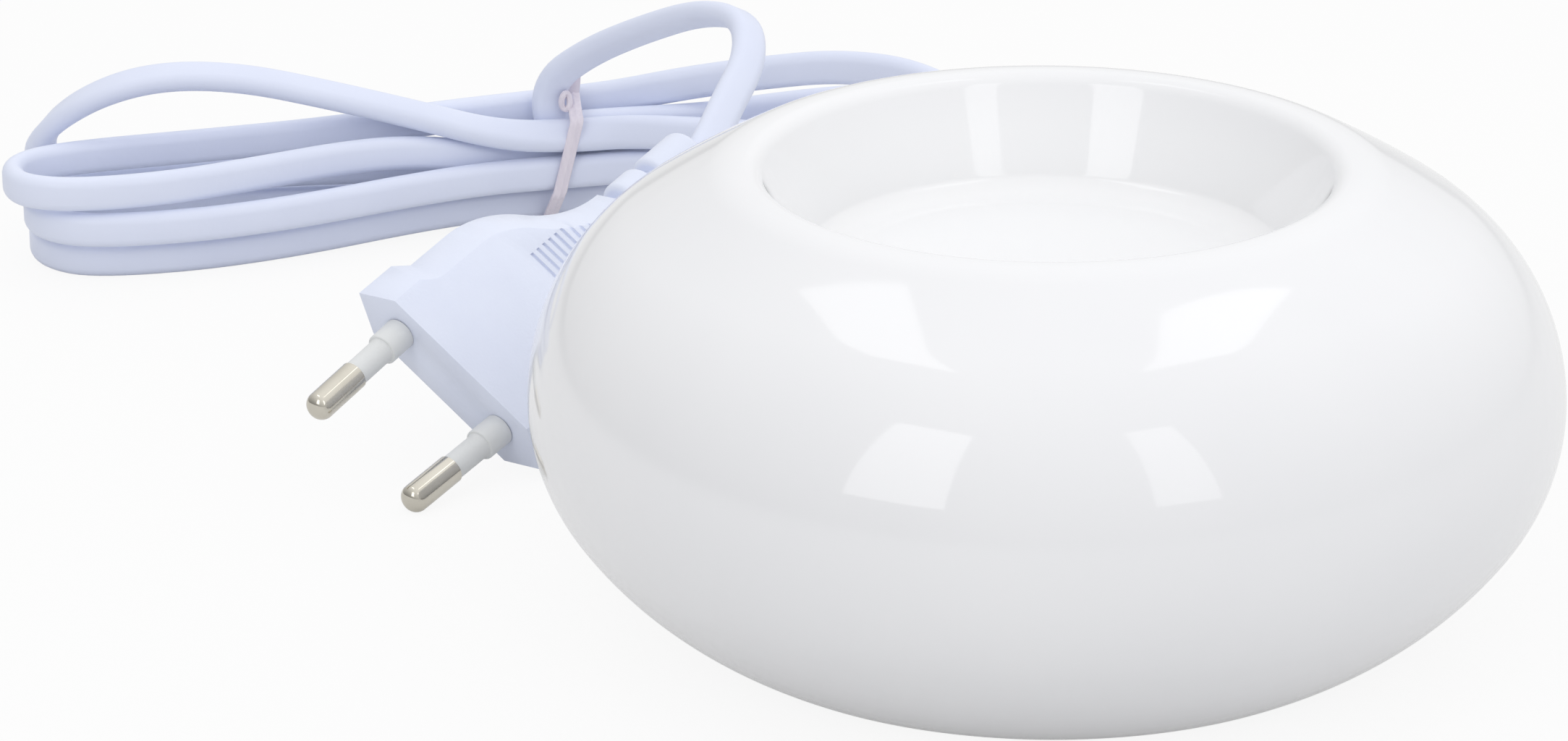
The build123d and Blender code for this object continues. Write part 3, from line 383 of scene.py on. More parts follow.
# turns an outline of (radius, height) points round Z, a little out of true where waver is set
def turningTree(p):
    group = bpy.data.node_groups.new("turning", "GeometryNodeTree")
    face = group.interface
    inputs = {"Outline": "Geometry", "Around": "Int", "Waver": "Float", "Seed": "Float",
              "Finish": "Material"}
    for key, kind in inputs.items():
        face.new_socket(key, in_out="INPUT", socket_type="NodeSocket" + kind)
    face.new_socket("Turned", in_out="OUTPUT", socket_type="NodeSocketGeometry")
    t = Tree(group)
    outline = t.node("NodeGroupInput")
    around, waver, seed, finish = (t.also(outline, key) for key in ("Around", "Waver", "Seed", "Finish"))
    count = t.node("GeometryNodeAttributeDomainSize", {"component": "MESH"}, {"Geometry": outline},
                   out="Point Count")
    grid = t.node("GeometryNodeMeshGrid", None, {"Vertices X": around + 1, "Vertices Y": count})
    index = t.node("GeometryNodeInputIndex")
    column = (index / count).maths("FLOOR", 0.0)
    row = index - column * count
    spot = t.node("GeometryNodeSampleIndex", {"data_type": "FLOAT_VECTOR", "domain": "POINT"}, {
        "Geometry": outline, "Value": t.node("GeometryNodeInputPosition"), "Index": row})
    flat = t.node("ShaderNodeSeparateXYZ", None, {0: spot})
    height = t.also(flat, 2)
    angle = column * math.tau / around
    cosine, sine = angle.maths("COSINE", 0.0), angle.maths("SINE", 0.0)
    drift = t.node("ShaderNodeTexNoise", {"noise_dimensions": "4D"}, {
        "Vector": t.node("ShaderNodeCombineXYZ", None, {0: cosine, 1: sine, 2: height * p["climb"]}),
        "W": seed, "Scale": p["scale"], "Detail": 0.0})
    radius = flat * (1 + (drift - p["middle"]) * waver)
    moved = t.node("GeometryNodeSetPosition", None, {
        "Geometry": grid, "Position": t.node("ShaderNodeCombineXYZ", None, {
            0: radius * cosine, 1: radius * sine, 2: height})})
    closed = t.node("GeometryNodeMergeByDistance", None, {"Geometry": moved, "Distance": p["merge"]})
    real = t.node("GeometryNodeRealizeInstances", None, {0: closed})
    done = t.node("GeometryNodeSetMaterial", None, {"Geometry": real, "Material": finish})
    group.links.new(done.socket, group.nodes.new("NodeGroupOutput").inputs[0])
    return group


turning = turningTree(lathe)


def turnedMesh(name, points, around, slot, waver=0.0, seed=0.0):
    inputs = {"Around": around, "Waver": waver, "Seed": seed, "Finish": finishes[slot]}
    made = plainMesh(outlineMesh(name, points), name, ("NODES", {"node_group": turning, "inputs": inputs}))
    return tidyMesh(made)


# glazed body, in metres and degrees: a step is the spacing of the outline's points on an arc,
# rings are the parts of a straight run

body = dict(diameter=0.130, height=0.0584, equator=0.0283, shoulder=0.0274, crownRadius=0.1373,
            bellyLift=0.0039, footRadius=0.0466, footDiameter=0.089, rimDiameter=0.0754, rimRadius=0.010,
            lipRadius=0.0026, dishDepth=0.0139, dishSlope=63.0, dishFillet=0.0042, bowlRadius=0.009,
            bowlTurn=37.0, bowlCorner=0.001, wall=0.0046, stand=0.0005, coverDiameter=0.080,
            coverThickness=0.002, coverLedge=0.005, outerStep=0.0008, rimStep=0.0004, lipStep=0.0002,
            underStep=0.0016, innerStep=0.0024, dishRings=14, ceilingRings=4, around=320, waver=0.0016,
            seed=4.0, exitHeight=0.019, exitHole=0.0092, exitSides=48, exitInset=0.005)


def arcPoints(centre, radius, start, stop, step):
    count = max(2, round(abs(math.radians(stop - start)) * abs(radius) / step))
    angles = [math.radians(start + (stop - start) * i / count) for i in range(count + 1)]
    return [(centre[0] + radius * math.cos(a), centre[1] + radius * math.sin(a)) for a in angles]


# points between two others, without them
def runPoints(a, b, count):
    return [(a[0] + (b[0] - a[0]) * i / count, a[1] + (b[1] - a[1]) * i / count) for i in range(1, count)]


# centre of the arc that wraps two circles, and the angles where it meets them
def wrapping(first, firstRadius, second, secondRadius, radius, side):
    gap = math.dist(first, second)
    near, distantShade = radius - firstRadius, radius - secondRadius
    bearing = math.atan2(second[1] - first[1], second[0] - first[0])
    bearing += side * math.acos((near * near + gap * gap - distantShade * distantShade) / (2 * near * gap))
    middle = (first[0] + near * math.cos(bearing), first[1] + near * math.sin(bearing))
    return middle, *[math.degrees(math.atan2(y - middle[1], x - middle[0])) for x, y in (first, second)]


def bodyOutline(p):
    low, top = p["stand"], p["stand"] + p["height"]
    equator, rimX, slope = low + p["equator"], p["rimDiameter"] / 2, math.radians(p["dishSlope"])
    shoulderR, lipR, rimR, fillet = p["shoulder"], p["lipRadius"], p["rimRadius"], p["dishFillet"]
    bellyR = p["equator"] - p["bellyLift"]
    shoulder, belly = (p["diameter"] / 2 - shoulderR, equator), (p["diameter"] / 2 - bellyR, equator)
    rim, lip, foot = (rimX, top - rimR), (rimX, top - lipR), (p["footDiameter"] / 2, low)
    crown, a1, a2 = wrapping(shoulder, shoulderR, rim, rimR, p["crownRadius"], 1)
    heel, b1, b2 = wrapping(belly, bellyR, foot, 0, p["footRadius"], -1)
    dishZ, bowlR, bowlTurn, cornerR = top - p["dishDepth"], p["bowlRadius"], p["bowlTurn"], p["bowlCorner"]

    # centre of an arc at the foot of the dish wall, so that the wall touches it and the lip
    def wallFoot(radius, lift):
        reach = lipR + radius - math.cos(slope) * (lift + lipR - p["dishDepth"])
        return (rimX - reach / math.sin(slope), dishZ + lift)

    well = wallFoot(fillet, fillet)
    spread = (bowlR - cornerR) * math.sin(math.radians(bowlTurn))
    dishFoot = wallFoot(cornerR, bowlR - (bowlR - cornerR) * math.cos(math.radians(bowlTurn)))

    def outside(inset, step):
        return (arcPoints(crown, p["crownRadius"] - inset, a2, a1, step)[1:]
                + arcPoints(shoulder, shoulderR - inset, a1, 0, step)[1:]
                + arcPoints(belly, bellyR - inset, 0, b1, step)[1:]
                + arcPoints(heel, p["footRadius"] - inset, b1, b2, step)[1:])

    wall, tilt = p["wall"], p["dishSlope"]
    bowl = arcPoints((dishFoot[0] - spread, dishZ + bowlR), bowlR, -90, bowlTurn - 90, p["rimStep"])
    bowl += arcPoints(dishFoot, cornerR, bowlTurn - 90, tilt - 90, p["lipStep"])[1:]
    floor = [(0, dishZ)] + runPoints((0, dishZ), bowl[0], p["dishRings"])
    edge = arcPoints(lip, lipR, 90 + tilt, 90, p["lipStep"])
    dish = floor + bowl + runPoints(bowl[-1], edge[0], p["dishRings"]) + edge
    dish += arcPoints(rim, rimR, 90, a2, p["rimStep"])[1:]

    meeting = (lipR - wall + (rimR - lipR) * math.cos(slope)) / (rimR - wall)
    corner = 90 + tilt - math.degrees(math.acos(meeting))
    under = arcPoints(well, fillet + wall, -90, tilt - 90, p["underStep"])
    under += arcPoints(rim, rimR - wall, corner, a2, p["underStep"])
    inner = under + outside(wall, p["innerStep"])
    cover, opening = p["coverDiameter"] / 2, p["coverDiameter"] / 2 - p["coverLedge"]
    coverTop = low + p["coverThickness"]
    ledge = [(cover, low), (cover, coverTop), (opening, coverTop), (opening, inner[-1][1])]
    ceiling = runPoints((well[0], under[0][1]), (0, under[0][1]), p["ceilingRings"]) + [(0, under[0][1])]
    return dish + outside(0, p["outerStep"]) + ledge + inner[::-1] + ceiling


# round bar along Y, that the cord's exit is cut with
def exitBar(p):
    bm = bmesh.new()
    bmesh.ops.create_cone(bm, cap_ends=True, segments=p["exitSides"], radius1=p["exitHole"] / 2,
                          radius2=p["exitHole"] / 2, depth=p["diameter"] / 2)
    place = Matrix.Translation((0, p["diameter"] / 2 - p["exitInset"], p["exitHeight"]))
    bmesh.ops.transform(bm, matrix=place @ Matrix.Rotation(math.pi / 2, 4, "X"), verts=bm.verts)
    mesh = bpy.data.meshes.new("exitBar")
    bm.to_mesh(mesh)
    bm.free()
    bar = bpy.data.objects.new("exitBar", mesh)
    scene.collection.objects.link(bar)
    return bar


def glazedBody(p):
    mesh = turnedMesh("glazedBody", bodyOutline(p), p["around"], "white_glaze", p["waver"], p["seed"])
    bar = exitBar(p)
    cut = {"object": bar, "operation": "DIFFERENCE", "solver": "EXACT"}
    mesh = plainMesh(mesh, "glazedBody", ("BOOLEAN", cut))
    bpy.data.objects.remove(bar)
    mesh.set_sharp_from_angle(angle=math.radians(crease))
    return addPiece("glazedBody", mesh, "white_glaze", "ceramic_body")


glazed = glazedBody(body)
print("glazed body:", len(glazed.data.polygons), "faces")


# plug, in millimetres and degrees: its own axes are across the pins, along them and up through the flat face

plug = dict(x=-77.6, y=47.7, yaw=232.0, pitch=16.5, roll=40.4, pinSpacing=18.6, tipSpacing=17.5,
            pinRadius=2.0, pinLength=19.0, pinRound=1.6, coreRadius=1.5, root=11.9, sleeveRadius=1.8,
            sleeveLength=10.2, sleeveFrom=0.1, endBevel=0.12, collarRadius=2.25, collarLength=4.2,
            collarRound=0.25, collarFlare=0.15, flareLength=0.2, tipStep=0.25, collarStep=0.1, around=48)
edges = dict(plug=0.22, bush=0.30, corner=28.0, flat=0.6, segments=2, merge=0.002)


def plugFrame(p):
    yaw, pitch, roll = (math.radians(p[key]) for key in ("yaw", "pitch", "roll"))
    pins = Vector((math.cos(pitch) * math.cos(yaw), math.cos(pitch) * math.sin(yaw), -math.sin(pitch)))
    level = Vector((math.sin(yaw), -math.cos(yaw), 0))
    across = level * math.cos(roll) + level.cross(pins) * math.sin(roll)
    up = across.cross(pins)
    low = -across.z * p["tipSpacing"] / 2 + pins.z * (p["pinLength"] - p["pinRadius"]) - p["pinRadius"]
    turn = Matrix((across, pins, up)).transposed().to_4x4()
    return Matrix.Translation(Vector((p["x"], p["y"], -low)) * mm) @ turn


plugPlace = plugFrame(plug)


def pinPlace(p, side):
    lean = (p["tipSpacing"] - p["pinSpacing"]) / 2 / p["pinLength"]
    along = Vector((side * lean, 1, 0)).normalized()
    turn = Vector((0, 0, 1)).rotation_difference(along).to_matrix().to_4x4()
    return plugPlace @ Matrix.Translation((side * p["pinSpacing"] / 2 * mm, 0, 0)) @ turn


def joined(name, meshes, slot):
    bm = bmesh.new()
    for mesh in meshes:
        bm.from_mesh(mesh)
    whole = bpy.data.meshes.new(name)
    bm.to_mesh(whole)
    bm.free()
    whole.materials.append(finishes[slot])
    whole.set_sharp_from_angle(angle=math.radians(crease))
    return whole


# the metal is full size at its end and thinner inside its sleeve
def pinOutline(p):
    r, tip, k = p["pinRadius"], p["pinLength"], p["pinRound"]
    core, sleeve, root = p["coreRadius"], p["sleeveLength"], -p["root"]
    points = [(0, tip)] + arcPoints((r - k, tip - k), k, 90, 0, p["tipStep"])
    points += [(r, sleeve), (core, sleeve), (core, root), (0, root)]
    return [(x * mm, z * mm) for x, z in points]


def sleeveOutline(p):
    r, core, end, bevel = p["sleeveRadius"], p["coreRadius"], p["sleeveLength"], p["endBevel"]
    c, top, k, start = p["collarRadius"], p["collarLength"], p["collarRound"], p["sleeveFrom"]
    points = [(core, start), (c, start), (c, top - k)]
    points += arcPoints((c - k, top - k), k, 0, 90, p["collarStep"])
    points += [(r + p["collarFlare"], top), (r, top + p["flareLength"]), (r, end - bevel), (r - bevel, end)]
    points += [(core, end), (core, start)]
    return [(x * mm, z * mm) for x, z in points]


def turnedPair(name, outline, look, slot, node):
    meshes = []
    for side in (-1, 1):
        mesh = turnedMesh(name, outline, plug["around"], look)
        mesh.transform(pinPlace(plug, side))
        meshes.append(mesh)
    return addPiece(name, joined(name, meshes, look), slot, node)


# a moulded node with its edges rounded over
def softEdged(name, node, slot, width, p):
    mesh = frame["nodes"][node].data.copy()
    bm = bmesh.new()
    bm.from_mesh(mesh)
    bmesh.ops.remove_doubles(bm, verts=bm.verts, dist=p["merge"] * mm)
    bmesh.ops.dissolve_limit(bm, angle_limit=math.radians(p["flat"]), verts=bm.verts, edges=bm.edges)
    bm.to_mesh(mesh)
    bm.free()
    rounding = {"width": width * mm, "segments": p["segments"], "limit_method": "ANGLE",
                "angle_limit": math.radians(p["corner"]), "harden_normals": False}
    mesh = plainMesh(mesh, name, ("BEVEL", rounding))
    for face in mesh.polygons:
        face.use_smooth = True
    mesh.set_sharp_from_angle(angle=math.radians(crease))
    return addPiece(name, mesh, slot, node)


plugBody = softEdged("plugMoulding", "plug_body", "plug_white", edges["plug"], edges)
plugPins = turnedPair("plugPins", pinOutline(plug), "pin_nickel", "pin_nickel", "plug_pins")
pinSleeves = turnedPair("pinSleeves", sleeveOutline(plug), "sleeve_grey", "plug_white", "pin_sleeves")
exitBush = softEdged("exitBush", "cord_grommet", "grommet_white", edges["bush"], edges)
print("plug made")


# cord, in millimetres and degrees: one line from the bush through the hank to the plug, flat twin

cord = dict(width=5.1, thickness=3.2, hankX=-66.0, hankY=148.7, hankAngle=14.0, low=2.6, mid=8.1, top=13.7,
            lift=0.9, pitch=3.9, ringPoints=24, resolution=8, least=0.001, crease=60, merge=1e-5)


def hankPoint(s, t, z):
    a = math.radians(cord["hankAngle"])
    x = cord["hankX"] + s * math.cos(a) - t * math.sin(a)
    y = cord["hankY"] + s * math.sin(a) + t * math.cos(a)
    return (x, y, z)


def plugPoint(x, y, z):
    return tuple((plugPlace @ (Vector((x, y, z)) * mm)) / mm)


# from the bush over to the tie
supplyRun = [(0, 84.945, 19), (0, 93.445, 19), (4.5, 111, 15), (4.5, 123.5, 15.5), (-2, 135.5, 20),
             (-12, 144.5, 23.8), (-24, 149.5, 24), (-36, 152, 22.1), (-47, 154.2, 19.9),
             hankPoint(10.3, 3.9, 17.7)]


# a round end of the hank: in along one side and out along the other, its corners set back from the end
def roundEnd(end, first, last, setBack, half, z):
    near, middle = end - math.copysign(setBack, end), (first + last) / 2
    half = math.copysign(half, first - last)
    return [(near, first, z), (end, middle + half, z), (end, middle - half, z), (near, last, z)]


# a strand that passes under the tie, in its column and layer
def underTie(column, layer, *places):
    return [(s, column * cord["pitch"], layer + cord["lift"]) for s in places]


# turns of the hank in its own axes, from the tie: s to the right, t to the back
def hankTurns():
    low, mid, top = cord["low"], cord["mid"], cord["top"]
    return [
        (4.8, 3.9, 17.4), (-1, 3.9, 17.1), (-17.6, 3.9, 16.6), (-34, 6.0, 14.8), (-50.9, 8.4, top),
        *roundEnd(-82.2, 7.8, -9.7, 7.6, 4.35, top), (-60.6, -9.9, top), (-46.9, -6.8, 13.8),
        (-34, -3.4, 13.9), (-24, -1.7, 13.5), (-14, -0.8, 11.7), (-7, -0.3, 9.4),
        *underTie(0, mid, 0, 11.2), (33.8, -5, mid),
        *roundEnd(52, -5, 9, 4.1, 2.9, mid), (33.8, 9, mid),
        *underTie(1, mid, 11.2, 0, -16), (-48.4, 12, mid),
        *roundEnd(-79.2, 11, -10.8, 7.7, 4.8, mid), (-48.4, -11.2, mid),
        *underTie(-1, mid, -16, 0, 11.2), (33.8, -12, mid),
        *roundEnd(59, -12, 16, 8.2, 5.8, mid), (39.5, 16, 8.0), (29.3, 10.6, 2.7), (18, 7.8, low),
        *underTie(1, low, 6, 0, -16), (-48, 14, low),
        *roundEnd(-78.2, 14, -8, 7.0, 4.6, low), (-48, -8, low),
        *underTie(0, low, -16, 0, 11.2), (33.8, -9, low),
        *roundEnd(60.5, -9, 22, 9.1, 6.4, low), (33.8, 22, low),
        *underTie(2, low, 11.2, 0, -12), (-36, 21, low), (-48, 21.2, low),
        (-62, 22.4, 3.2), (-72, 20.5, 6.6), (-77, 16, 12.6), (-74.2, 11, 18.9), (-67, 7.2, 24),
        (-58, 5.8, 25.9), (-47, 4.3, 25.1), (-35, 2.5, 22.1), (-22, 0.3, 18.5), (-10, -3.2, 15.3),
        *underTie(-1, top, 0, 11.2), (33.8, -12, top),
        *roundEnd(56, -12, 4.2, 6.0, 4.0, top), (37, 4, top), (22, -0.4, 14.3), (9.9, -0.2, 14.6),
        *underTie(0, top, 4.8),
    ]


# the upper free loop lies over on its flat side, by degrees at spots from its left end to past the tie
loopRolls = [((-48, 21.2, 2.6), 0), ((-74.2, 11, 18.9), -70), ((-22, 0.3, 18.5), -70), ((33.8, -12, 13.7), 0)]

# up from under the tie in an arch, and down into the plug
leadRun = [hankPoint(-1.8, 0, 14.57), hankPoint(-1.8, 0, 22.17), (-61.4, 144.2, 28), (-53.4, 137, 33.6),
           (-44.4, 127.5, 39.3), (-37.9, 118.5, 40.9), (-37.3, 109.3, 37.7), (-40.6, 101, 33.8),
           (-43.2, 94.4, 29.9), plugPoint(0, -54.2, 0)]

# inside the body, from the bush to the clamp
innerRun = [(0, 84.945, 19), (0, 49, 19), (0, 41, 14), (0, 34, 5.85), (0, 19, 5.85)]


def curvePoints(name, points):
    curve = bpy.data.curves.new(name, "CURVE")
    curve.dimensions = "3D"
    spline = curve.splines.new("NURBS")
    spline.points.add(len(points) - 1)
    for knot, p in zip(spline.points, points):
        knot.co = (p[0] * mm, p[1] * mm, p[2] * mm, 1)
    spline.order_u = 3
    spline.use_endpoint_u = True
    spline.resolution_u = cord["resolution"]
    holder = bpy.data.objects.new(name, curve)
    scene.collection.objects.link(holder)
    bpy.context.view_layer.update()
    mesh = bpy.data.meshes.new_from_object(holder)
    line = [v.co.copy() for v in mesh.vertices]
    bpy.data.objects.remove(holder)
    least = cord["least"] * mm
    return [a for a, b in zip(line, line[1:] + [None]) if b is None or (a - b).length > least]


def headings(line):
    ends = [line[0]] + line + [line[-1]]
    return [(c - a).normalized() for a, c in zip(ends, ends[2:])]


# how far the section is rolled over at each point of the line, eased from one marked spot to the next
def rollAlong(line, marks):
    rolls, start, last = [0.0] * len(line), 0, 0.0
    for spot, turn in marks:
        stop = min(range(start, len(line)), key=lambda i: (line[i] - Vector(spot) * mm).length)
        for i in range(start, stop + 1):
            u = (i - start) / max(1, stop - start)
            rolls[i] = last + (turn - last) * u * u * (3 - 2 * u)
        start, last = stop, turn
    return rolls


# the wide way of the section: upright and rolled until freeFrom,
# then carried along and turned evenly to endWide
def wideWays(line, freeFrom, endWide, rolls=None):
    along, wide = headings(line), []
    for i, way in enumerate(along):
        if i <= freeFrom:
            upright = (Vector((0, 0, 1)) - way * way.z).normalized()
            wide.append(Quaternion(way, math.radians(rolls[i] if rolls else 0)) @ upright)
        else:
            carried = along[i - 1].rotation_difference(way) @ wide[-1]
            wide.append((carried - way * carried.dot(way)).normalized())
    if endWide is not None:
        last, way = wide[-1], along[-1]
        turn = math.atan2(way.dot(last.cross(endWide)), last.dot(endWide))
        turn = (turn + math.pi / 2) % math.pi - math.pi / 2  # the section is the same turned half round
        count = len(line) - 1 - freeFrom
        for i in range(freeFrom + 1, len(line)):
            wide[i] = Quaternion(along[i], turn * (i - freeFrom) / count) @ wide[i]
    return along, wide


def flatTube(name, line, along, wide, p):
    r, flat, count = p["thickness"] / 2 * mm, (p["width"] - p["thickness"]) / 2 * mm, p["ringPoints"]
    section = []
    for i in range(count):
        a = math.tau * (i + 0.5) / count
        section.append((r * math.cos(a) + (flat if math.cos(a) > 0 else -flat), r * math.sin(a)))
    spots = []
    for spot, way, up in zip(line, along, wide):
        side = way.cross(up)
        spots += [spot + up * u + side * v for u, v in section]
    mesh = bpy.data.meshes.new(name)
    mesh.from_pydata(spots, [], ringFaces(0, len(line), count, False))
    return tidyMesh(mesh, p["crease"], p["merge"] * mm)


def wholeCord(p):
    points = supplyRun + [hankPoint(*spot) for spot in hankTurns()] + leadRun
    line = curvePoints("cordLine", points)
    start = Vector(leadRun[0]) * mm
    loose = min(range(len(line) // 2, len(line)), key=lambda i: (line[i] - start).length)
    rolls = rollAlong(line, [(hankPoint(*spot), turn) for spot, turn in loopRolls])
    along, wide = wideWays(line, loose, plugPlace.to_3x3() @ Vector((1, 0, 0)), rolls)
    mesh = flatTube("flatCord", line, along, wide, p)
    length = sum((b - a).length for a, b in zip(line, line[1:]))
    print("cord:", len(points), "points,", round(length, 4), "m long")
    return addPiece("flatCord", mesh, "cord_white", "supply_cord", "cord_hank", "plug_lead"), line


def innerStretch(p):
    line = curvePoints("innerLine", innerRun)
    along, wide = wideWays(line, len(line), None)
    return addPiece("innerCord", flatTube("innerCord", line, along, wide, p), "cord_white", "inner_cord")


flatCord, cordLine = wholeCord(cord)
innerCord = innerStretch(cord)


# tie, in millimetres and the hank's axes: a paper band with a wire in its middle, round the waist
# of the hank, with its end looped and stood up

tie = dict(offset=0.9, width=2.0, thickness=0.55, ridge=0.14, ridgeHalf=0.4, bevel=0.15, cheek=0.75,
           inside=0.02, corner=1.2, cornerReach=1.1, cornerSteps=6, lean=0.25, leanFrom=16.5, skew=0.06,
           front=-5.8, wobble=0.12, wobbleTurn=0.37, loopS=0.2, loopT=-2.8, loopZ=19.7, loopWide=0.62,
           loopTall=1.25, loopSway=0.2, loopRows=32, wire=0.48, wireSides=8, tabS=1.9, tabT=0.6,
           tabLow=19.4, tabHigh=22.9, tabLean=0.7, tabTaper=0.35, tabRows=7, crease=35, merge=1e-5)
tieCorners = [(-1.9, 0.62), (9.7, 0.62), (9.7, 6.32), (5.7, 19.9), (3.0, 20.15), (-5.8, 17.42), (-5.8, 6.17)]

# the tab's section, in halves of its width and thickness
tabSection = [(-1, -0.5), (-0.8, -1), (0, -1.35), (0.8, -1), (1, -0.5),
              (1, 0.5), (0.8, 1), (-0.8, 1), (-1, 0.5)]


def roundedLoop(corners, radius, longest, steps):
    points = []
    for i, here in enumerate(corners):
        here = Vector(here)
        back = (Vector(corners[i - 1]) - here).normalized()
        on = (Vector(corners[(i + 1) % len(corners)]) - here).normalized()
        half = back.angle(on) / 2
        reach = min(radius / math.tan(half), longest)
        a, b = here + back * reach, here + on * reach
        for k in range(steps + 1):
            u = k / steps
            points.append(a * (1 - u) ** 2 + here * 2 * u * (1 - u) + b * u ** 2)
    return points


def bandRows(p):
    w, th, bevel, ridge = p["width"] / 2, p["thickness"], p["bevel"], p["ridgeHalf"]
    left = [(-w, p["inside"]), (-w, th * p["cheek"]), (-w + bevel, th), (-ridge, th)]
    section = left + [(0, th + p["ridge"])] + [(-s, lift) for s, lift in left[::-1]]
    loop = roundedLoop(tieCorners, p["corner"], p["cornerReach"], p["cornerSteps"])
    rows = []
    for i, spot in enumerate(loop):
        run = (loop[(i + 1) % len(loop)] - loop[i - 1]).normalized()
        outward = Vector((run.y, -run.x))
        middle = p["offset"] + p["lean"] * (spot.y - p["leanFrom"]) + p["skew"] * (spot.x - p["front"])
        middle += p["wobble"] * math.sin(i * p["wobbleTurn"])
        rows.append([(middle + s, *(spot + outward * lift)) for s, lift in section])
    return rows


def wireRows(p):
    wide, tall, wire = p["loopWide"], p["loopTall"], p["wire"]
    rows = []
    for i in range(p["loopRows"]):
        a = math.tau * i / p["loopRows"]
        out = Vector((math.cos(a) * tall, math.sin(a) * wide)).normalized()
        row = []
        for j in range(p["wireSides"]):
            b = math.tau * j / p["wireSides"]
            row.append((p["loopS"] + wide * math.cos(a) + out.x * wire * math.cos(b),
                        p["loopT"] + p["loopSway"] * math.sin(2 * a) + wire * math.sin(b),
                        p["loopZ"] + tall * math.sin(a) + out.y * wire * math.cos(b)))
        rows.append(row)
    return rows


def tabRows(p):
    rows = []
    for i in range(p["tabRows"]):
        u = i / (p["tabRows"] - 1)
        half = p["width"] / 2 * (1 - p["tabTaper"] * u * u)
        z = p["tabLow"] + (p["tabHigh"] - p["tabLow"]) * u
        rows.append([(p["tabS"] + p["tabLean"] * u + s * half, p["tabT"] + t * p["thickness"] / 2, z)
                     for s, t in tabSection])
    return rows


def tieBand(p):
    spots, faces = [], []
    for rows, closed in ((bandRows(p), True), (wireRows(p), True), (tabRows(p), False)):
        faces += ringFaces(len(spots), len(rows), len(rows[0]), closed)
        spots += [Vector(hankPoint(*spot)) * mm for row in rows for spot in row]
    mesh = bpy.data.meshes.new("paperTie")
    mesh.from_pydata(spots, [], faces)
    return addPiece("paperTie", tidyMesh(mesh, p["crease"], p["merge"] * mm), "tie_pale", "cord_tie")


paperTie = tieBand(tie)
print("cord tied and plugged")


# floor, light and camera, in metres: the tent's light rises to the right, to the back and to the top

stage = dict(size=6.0, rough=0.9, floor=rgb(0.76, 0.76, 0.76), distantLeftShade=rgb(0.50, 0.50, 0.50),
             distantRightShade=rgb(0.75, 0.75, 0.75), fadeFrom=0.20, fadeTo=0.90, shown=0.90, mirrored=0.40,
             tent=0.70, toRight=0.18, endsDown=0.20, toBack=0.10, toTop=0.46)


def paleFloor(p):
    mesh = bpy.data.meshes.new("paleFloor")
    h = p["size"] / 2
    mesh.from_pydata([(-h, -h, 0), (h, -h, 0), (h, h, 0), (-h, h, 0)], [], [(0, 1, 2, 3)])
    f = Finish("paleFloor", Roughness=p["rough"], Specular_IOR_Level=0.0)
    # painted shade: the floor's colour darkens away from the object, and more so to the left, where the
    # tent's light is lower
    near = f.between(f.outward(f.place), (p["fadeFrom"], p["fadeTo"]), (1.0, 0.0))
    right = f.between(f.node("ShaderNodeSeparateXYZ", None, {0: f.place}), (-p["fadeTo"], p["fadeTo"]))
    distantShade = f.mix(right, p["distantLeftShade"], p["distantRightShade"])  # painted shade, about as dark as the tent there
    f.feed("Base Color", f.mix(near, distantShade, p["floor"]))
    seen = f.node("ShaderNodeLightPath", out="Is Camera Ray")
    mirrored = f.also(seen, "Is Glossy Ray") + f.also(seen, "Is Transmission Ray")
    share = seen * p["shown"] + mirrored * near * p["mirrored"]
    glow = f.node("ShaderNodeEmission", None, {"Color": rgb(1, 1, 1), "Strength": 1.0})
    both = f.node("ShaderNodeMixShader", None, {0: share, 1: Sock(f, f.shader.outputs[0]), 2: glow})
    f.tree.links.new(both.socket, f.tree.nodes["Material Output"].inputs["Surface"])
    mesh.materials.append(f.material)
    floor = bpy.data.objects.new("paleFloor", mesh)
    scene.collection.objects.link(floor)


def softTent(p):
    world = bpy.data.worlds.new("softTent")
    world.use_nodes = True
    scene.world = world
    t = Tree(world.node_tree)
    ground = world.node_tree.nodes["Background"]
    x = t.node("ShaderNodeSeparateXYZ", None, {0: t.node("ShaderNodeTexCoord", out="Generated")})
    y, z = t.also(x, 1), t.also(x, 2)
    level = p["tent"] + x * (p["toRight"] - x * p["endsDown"]) + y * p["toBack"] + z * p["toTop"]
    seen = t.node("ShaderNodeLightPath", out="Is Camera Ray")
    strength = seen + (1 - seen) * level
    world.node_tree.links.new(strength.socket, ground.inputs["Strength"])
    ground.inputs["Color"].default_value = rgb(1, 1, 1)


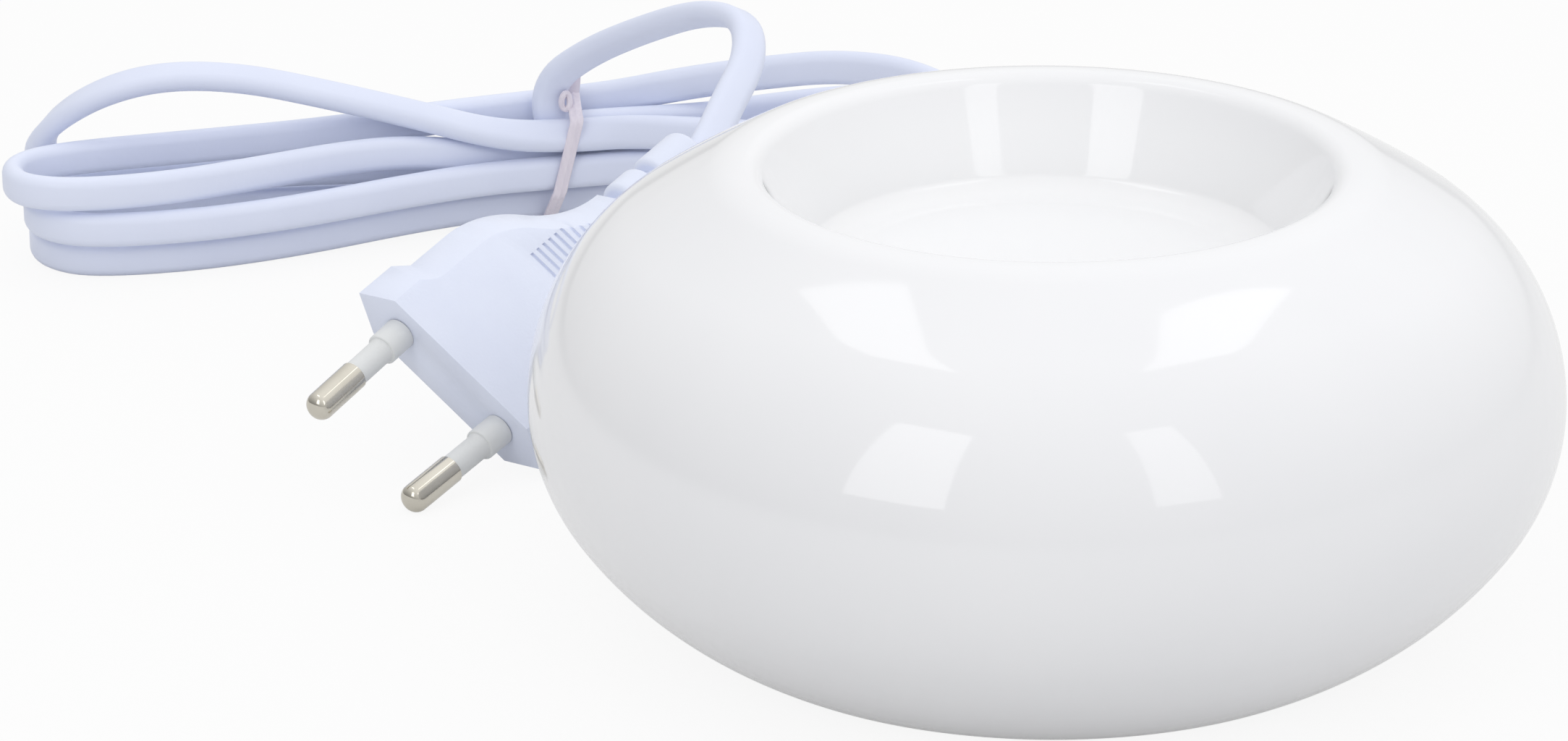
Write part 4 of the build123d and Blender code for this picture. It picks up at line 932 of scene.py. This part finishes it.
# turns are degrees of yaw, tilt and roll
lamps = dict(
    overLeft=dict(place=(-0.344, 0.159, 0.965), turns=(-5, -55, 41), wide=0.366, tall=0.487, power=0.62),
    overRight=dict(place=(0.350, 0.127, 0.970), turns=(24, -68, -19), wide=0.350, tall=0.531, power=0.62),
    frontLeft=dict(place=(-0.66, -0.96, 0.88), turns=(-36, 88, 0), wide=0.467, tall=1.11, power=2.3),
    frontRight=dict(place=(0.58, -1.08, 1.00), turns=(29.5, 90, 0), wide=0.31, tall=1.25, power=1.35))


def softbox(name, p):
    lamp = bpy.data.lights.new(name, "AREA")
    lamp.shape = "RECTANGLE"
    lamp.size, lamp.size_y, lamp.energy = p["wide"], p["tall"], p["power"]
    holder = bpy.data.objects.new(name, lamp)
    scene.collection.objects.link(holder)
    yaw, tilt, roll = (math.radians(turn) for turn in p["turns"])
    aim = Matrix.Rotation(yaw, 4, "Z") @ Matrix.Rotation(tilt, 4, "X") @ Matrix.Rotation(roll, 4, "Y")
    holder.matrix_world = Matrix.Translation(p["place"]) @ aim


# tilt is in degrees, roll in radians, lens and sensor in millimetres
shot = dict(place=(-0.03278, -0.70112, 0.29437), tilt=20.557, roll=-0.005, lens=137.05, sensor=36.0,
            clip=(0.01, 20.0))


def photoCamera(p):
    lens = bpy.data.cameras.new("photoCamera")
    lens.lens, lens.sensor_width, lens.sensor_fit = p["lens"], p["sensor"], "HORIZONTAL"
    lens.clip_start, lens.clip_end = p["clip"]
    camera = bpy.data.objects.new("photoCamera", lens)
    e, c, s = math.radians(p["tilt"]), math.cos(p["roll"]), math.sin(p["roll"])
    right, up = Vector((1, 0, 0)), Vector((0, math.sin(e), math.cos(e)))
    ahead = Vector((0, math.cos(e), -math.sin(e)))
    axes = Matrix((right * c + up * s, up * c - right * s, -ahead)).transposed()
    camera.matrix_world = Matrix.Translation(p["place"]) @ axes.to_4x4()
    scene.collection.objects.link(camera)
    scene.camera = camera


paleFloor(stage)
softTent(stage)
for name, lamp in lamps.items():
    softbox(name, lamp)
photoCamera(shot)
scene.view_settings.view_transform = "Standard"
print("stage set")
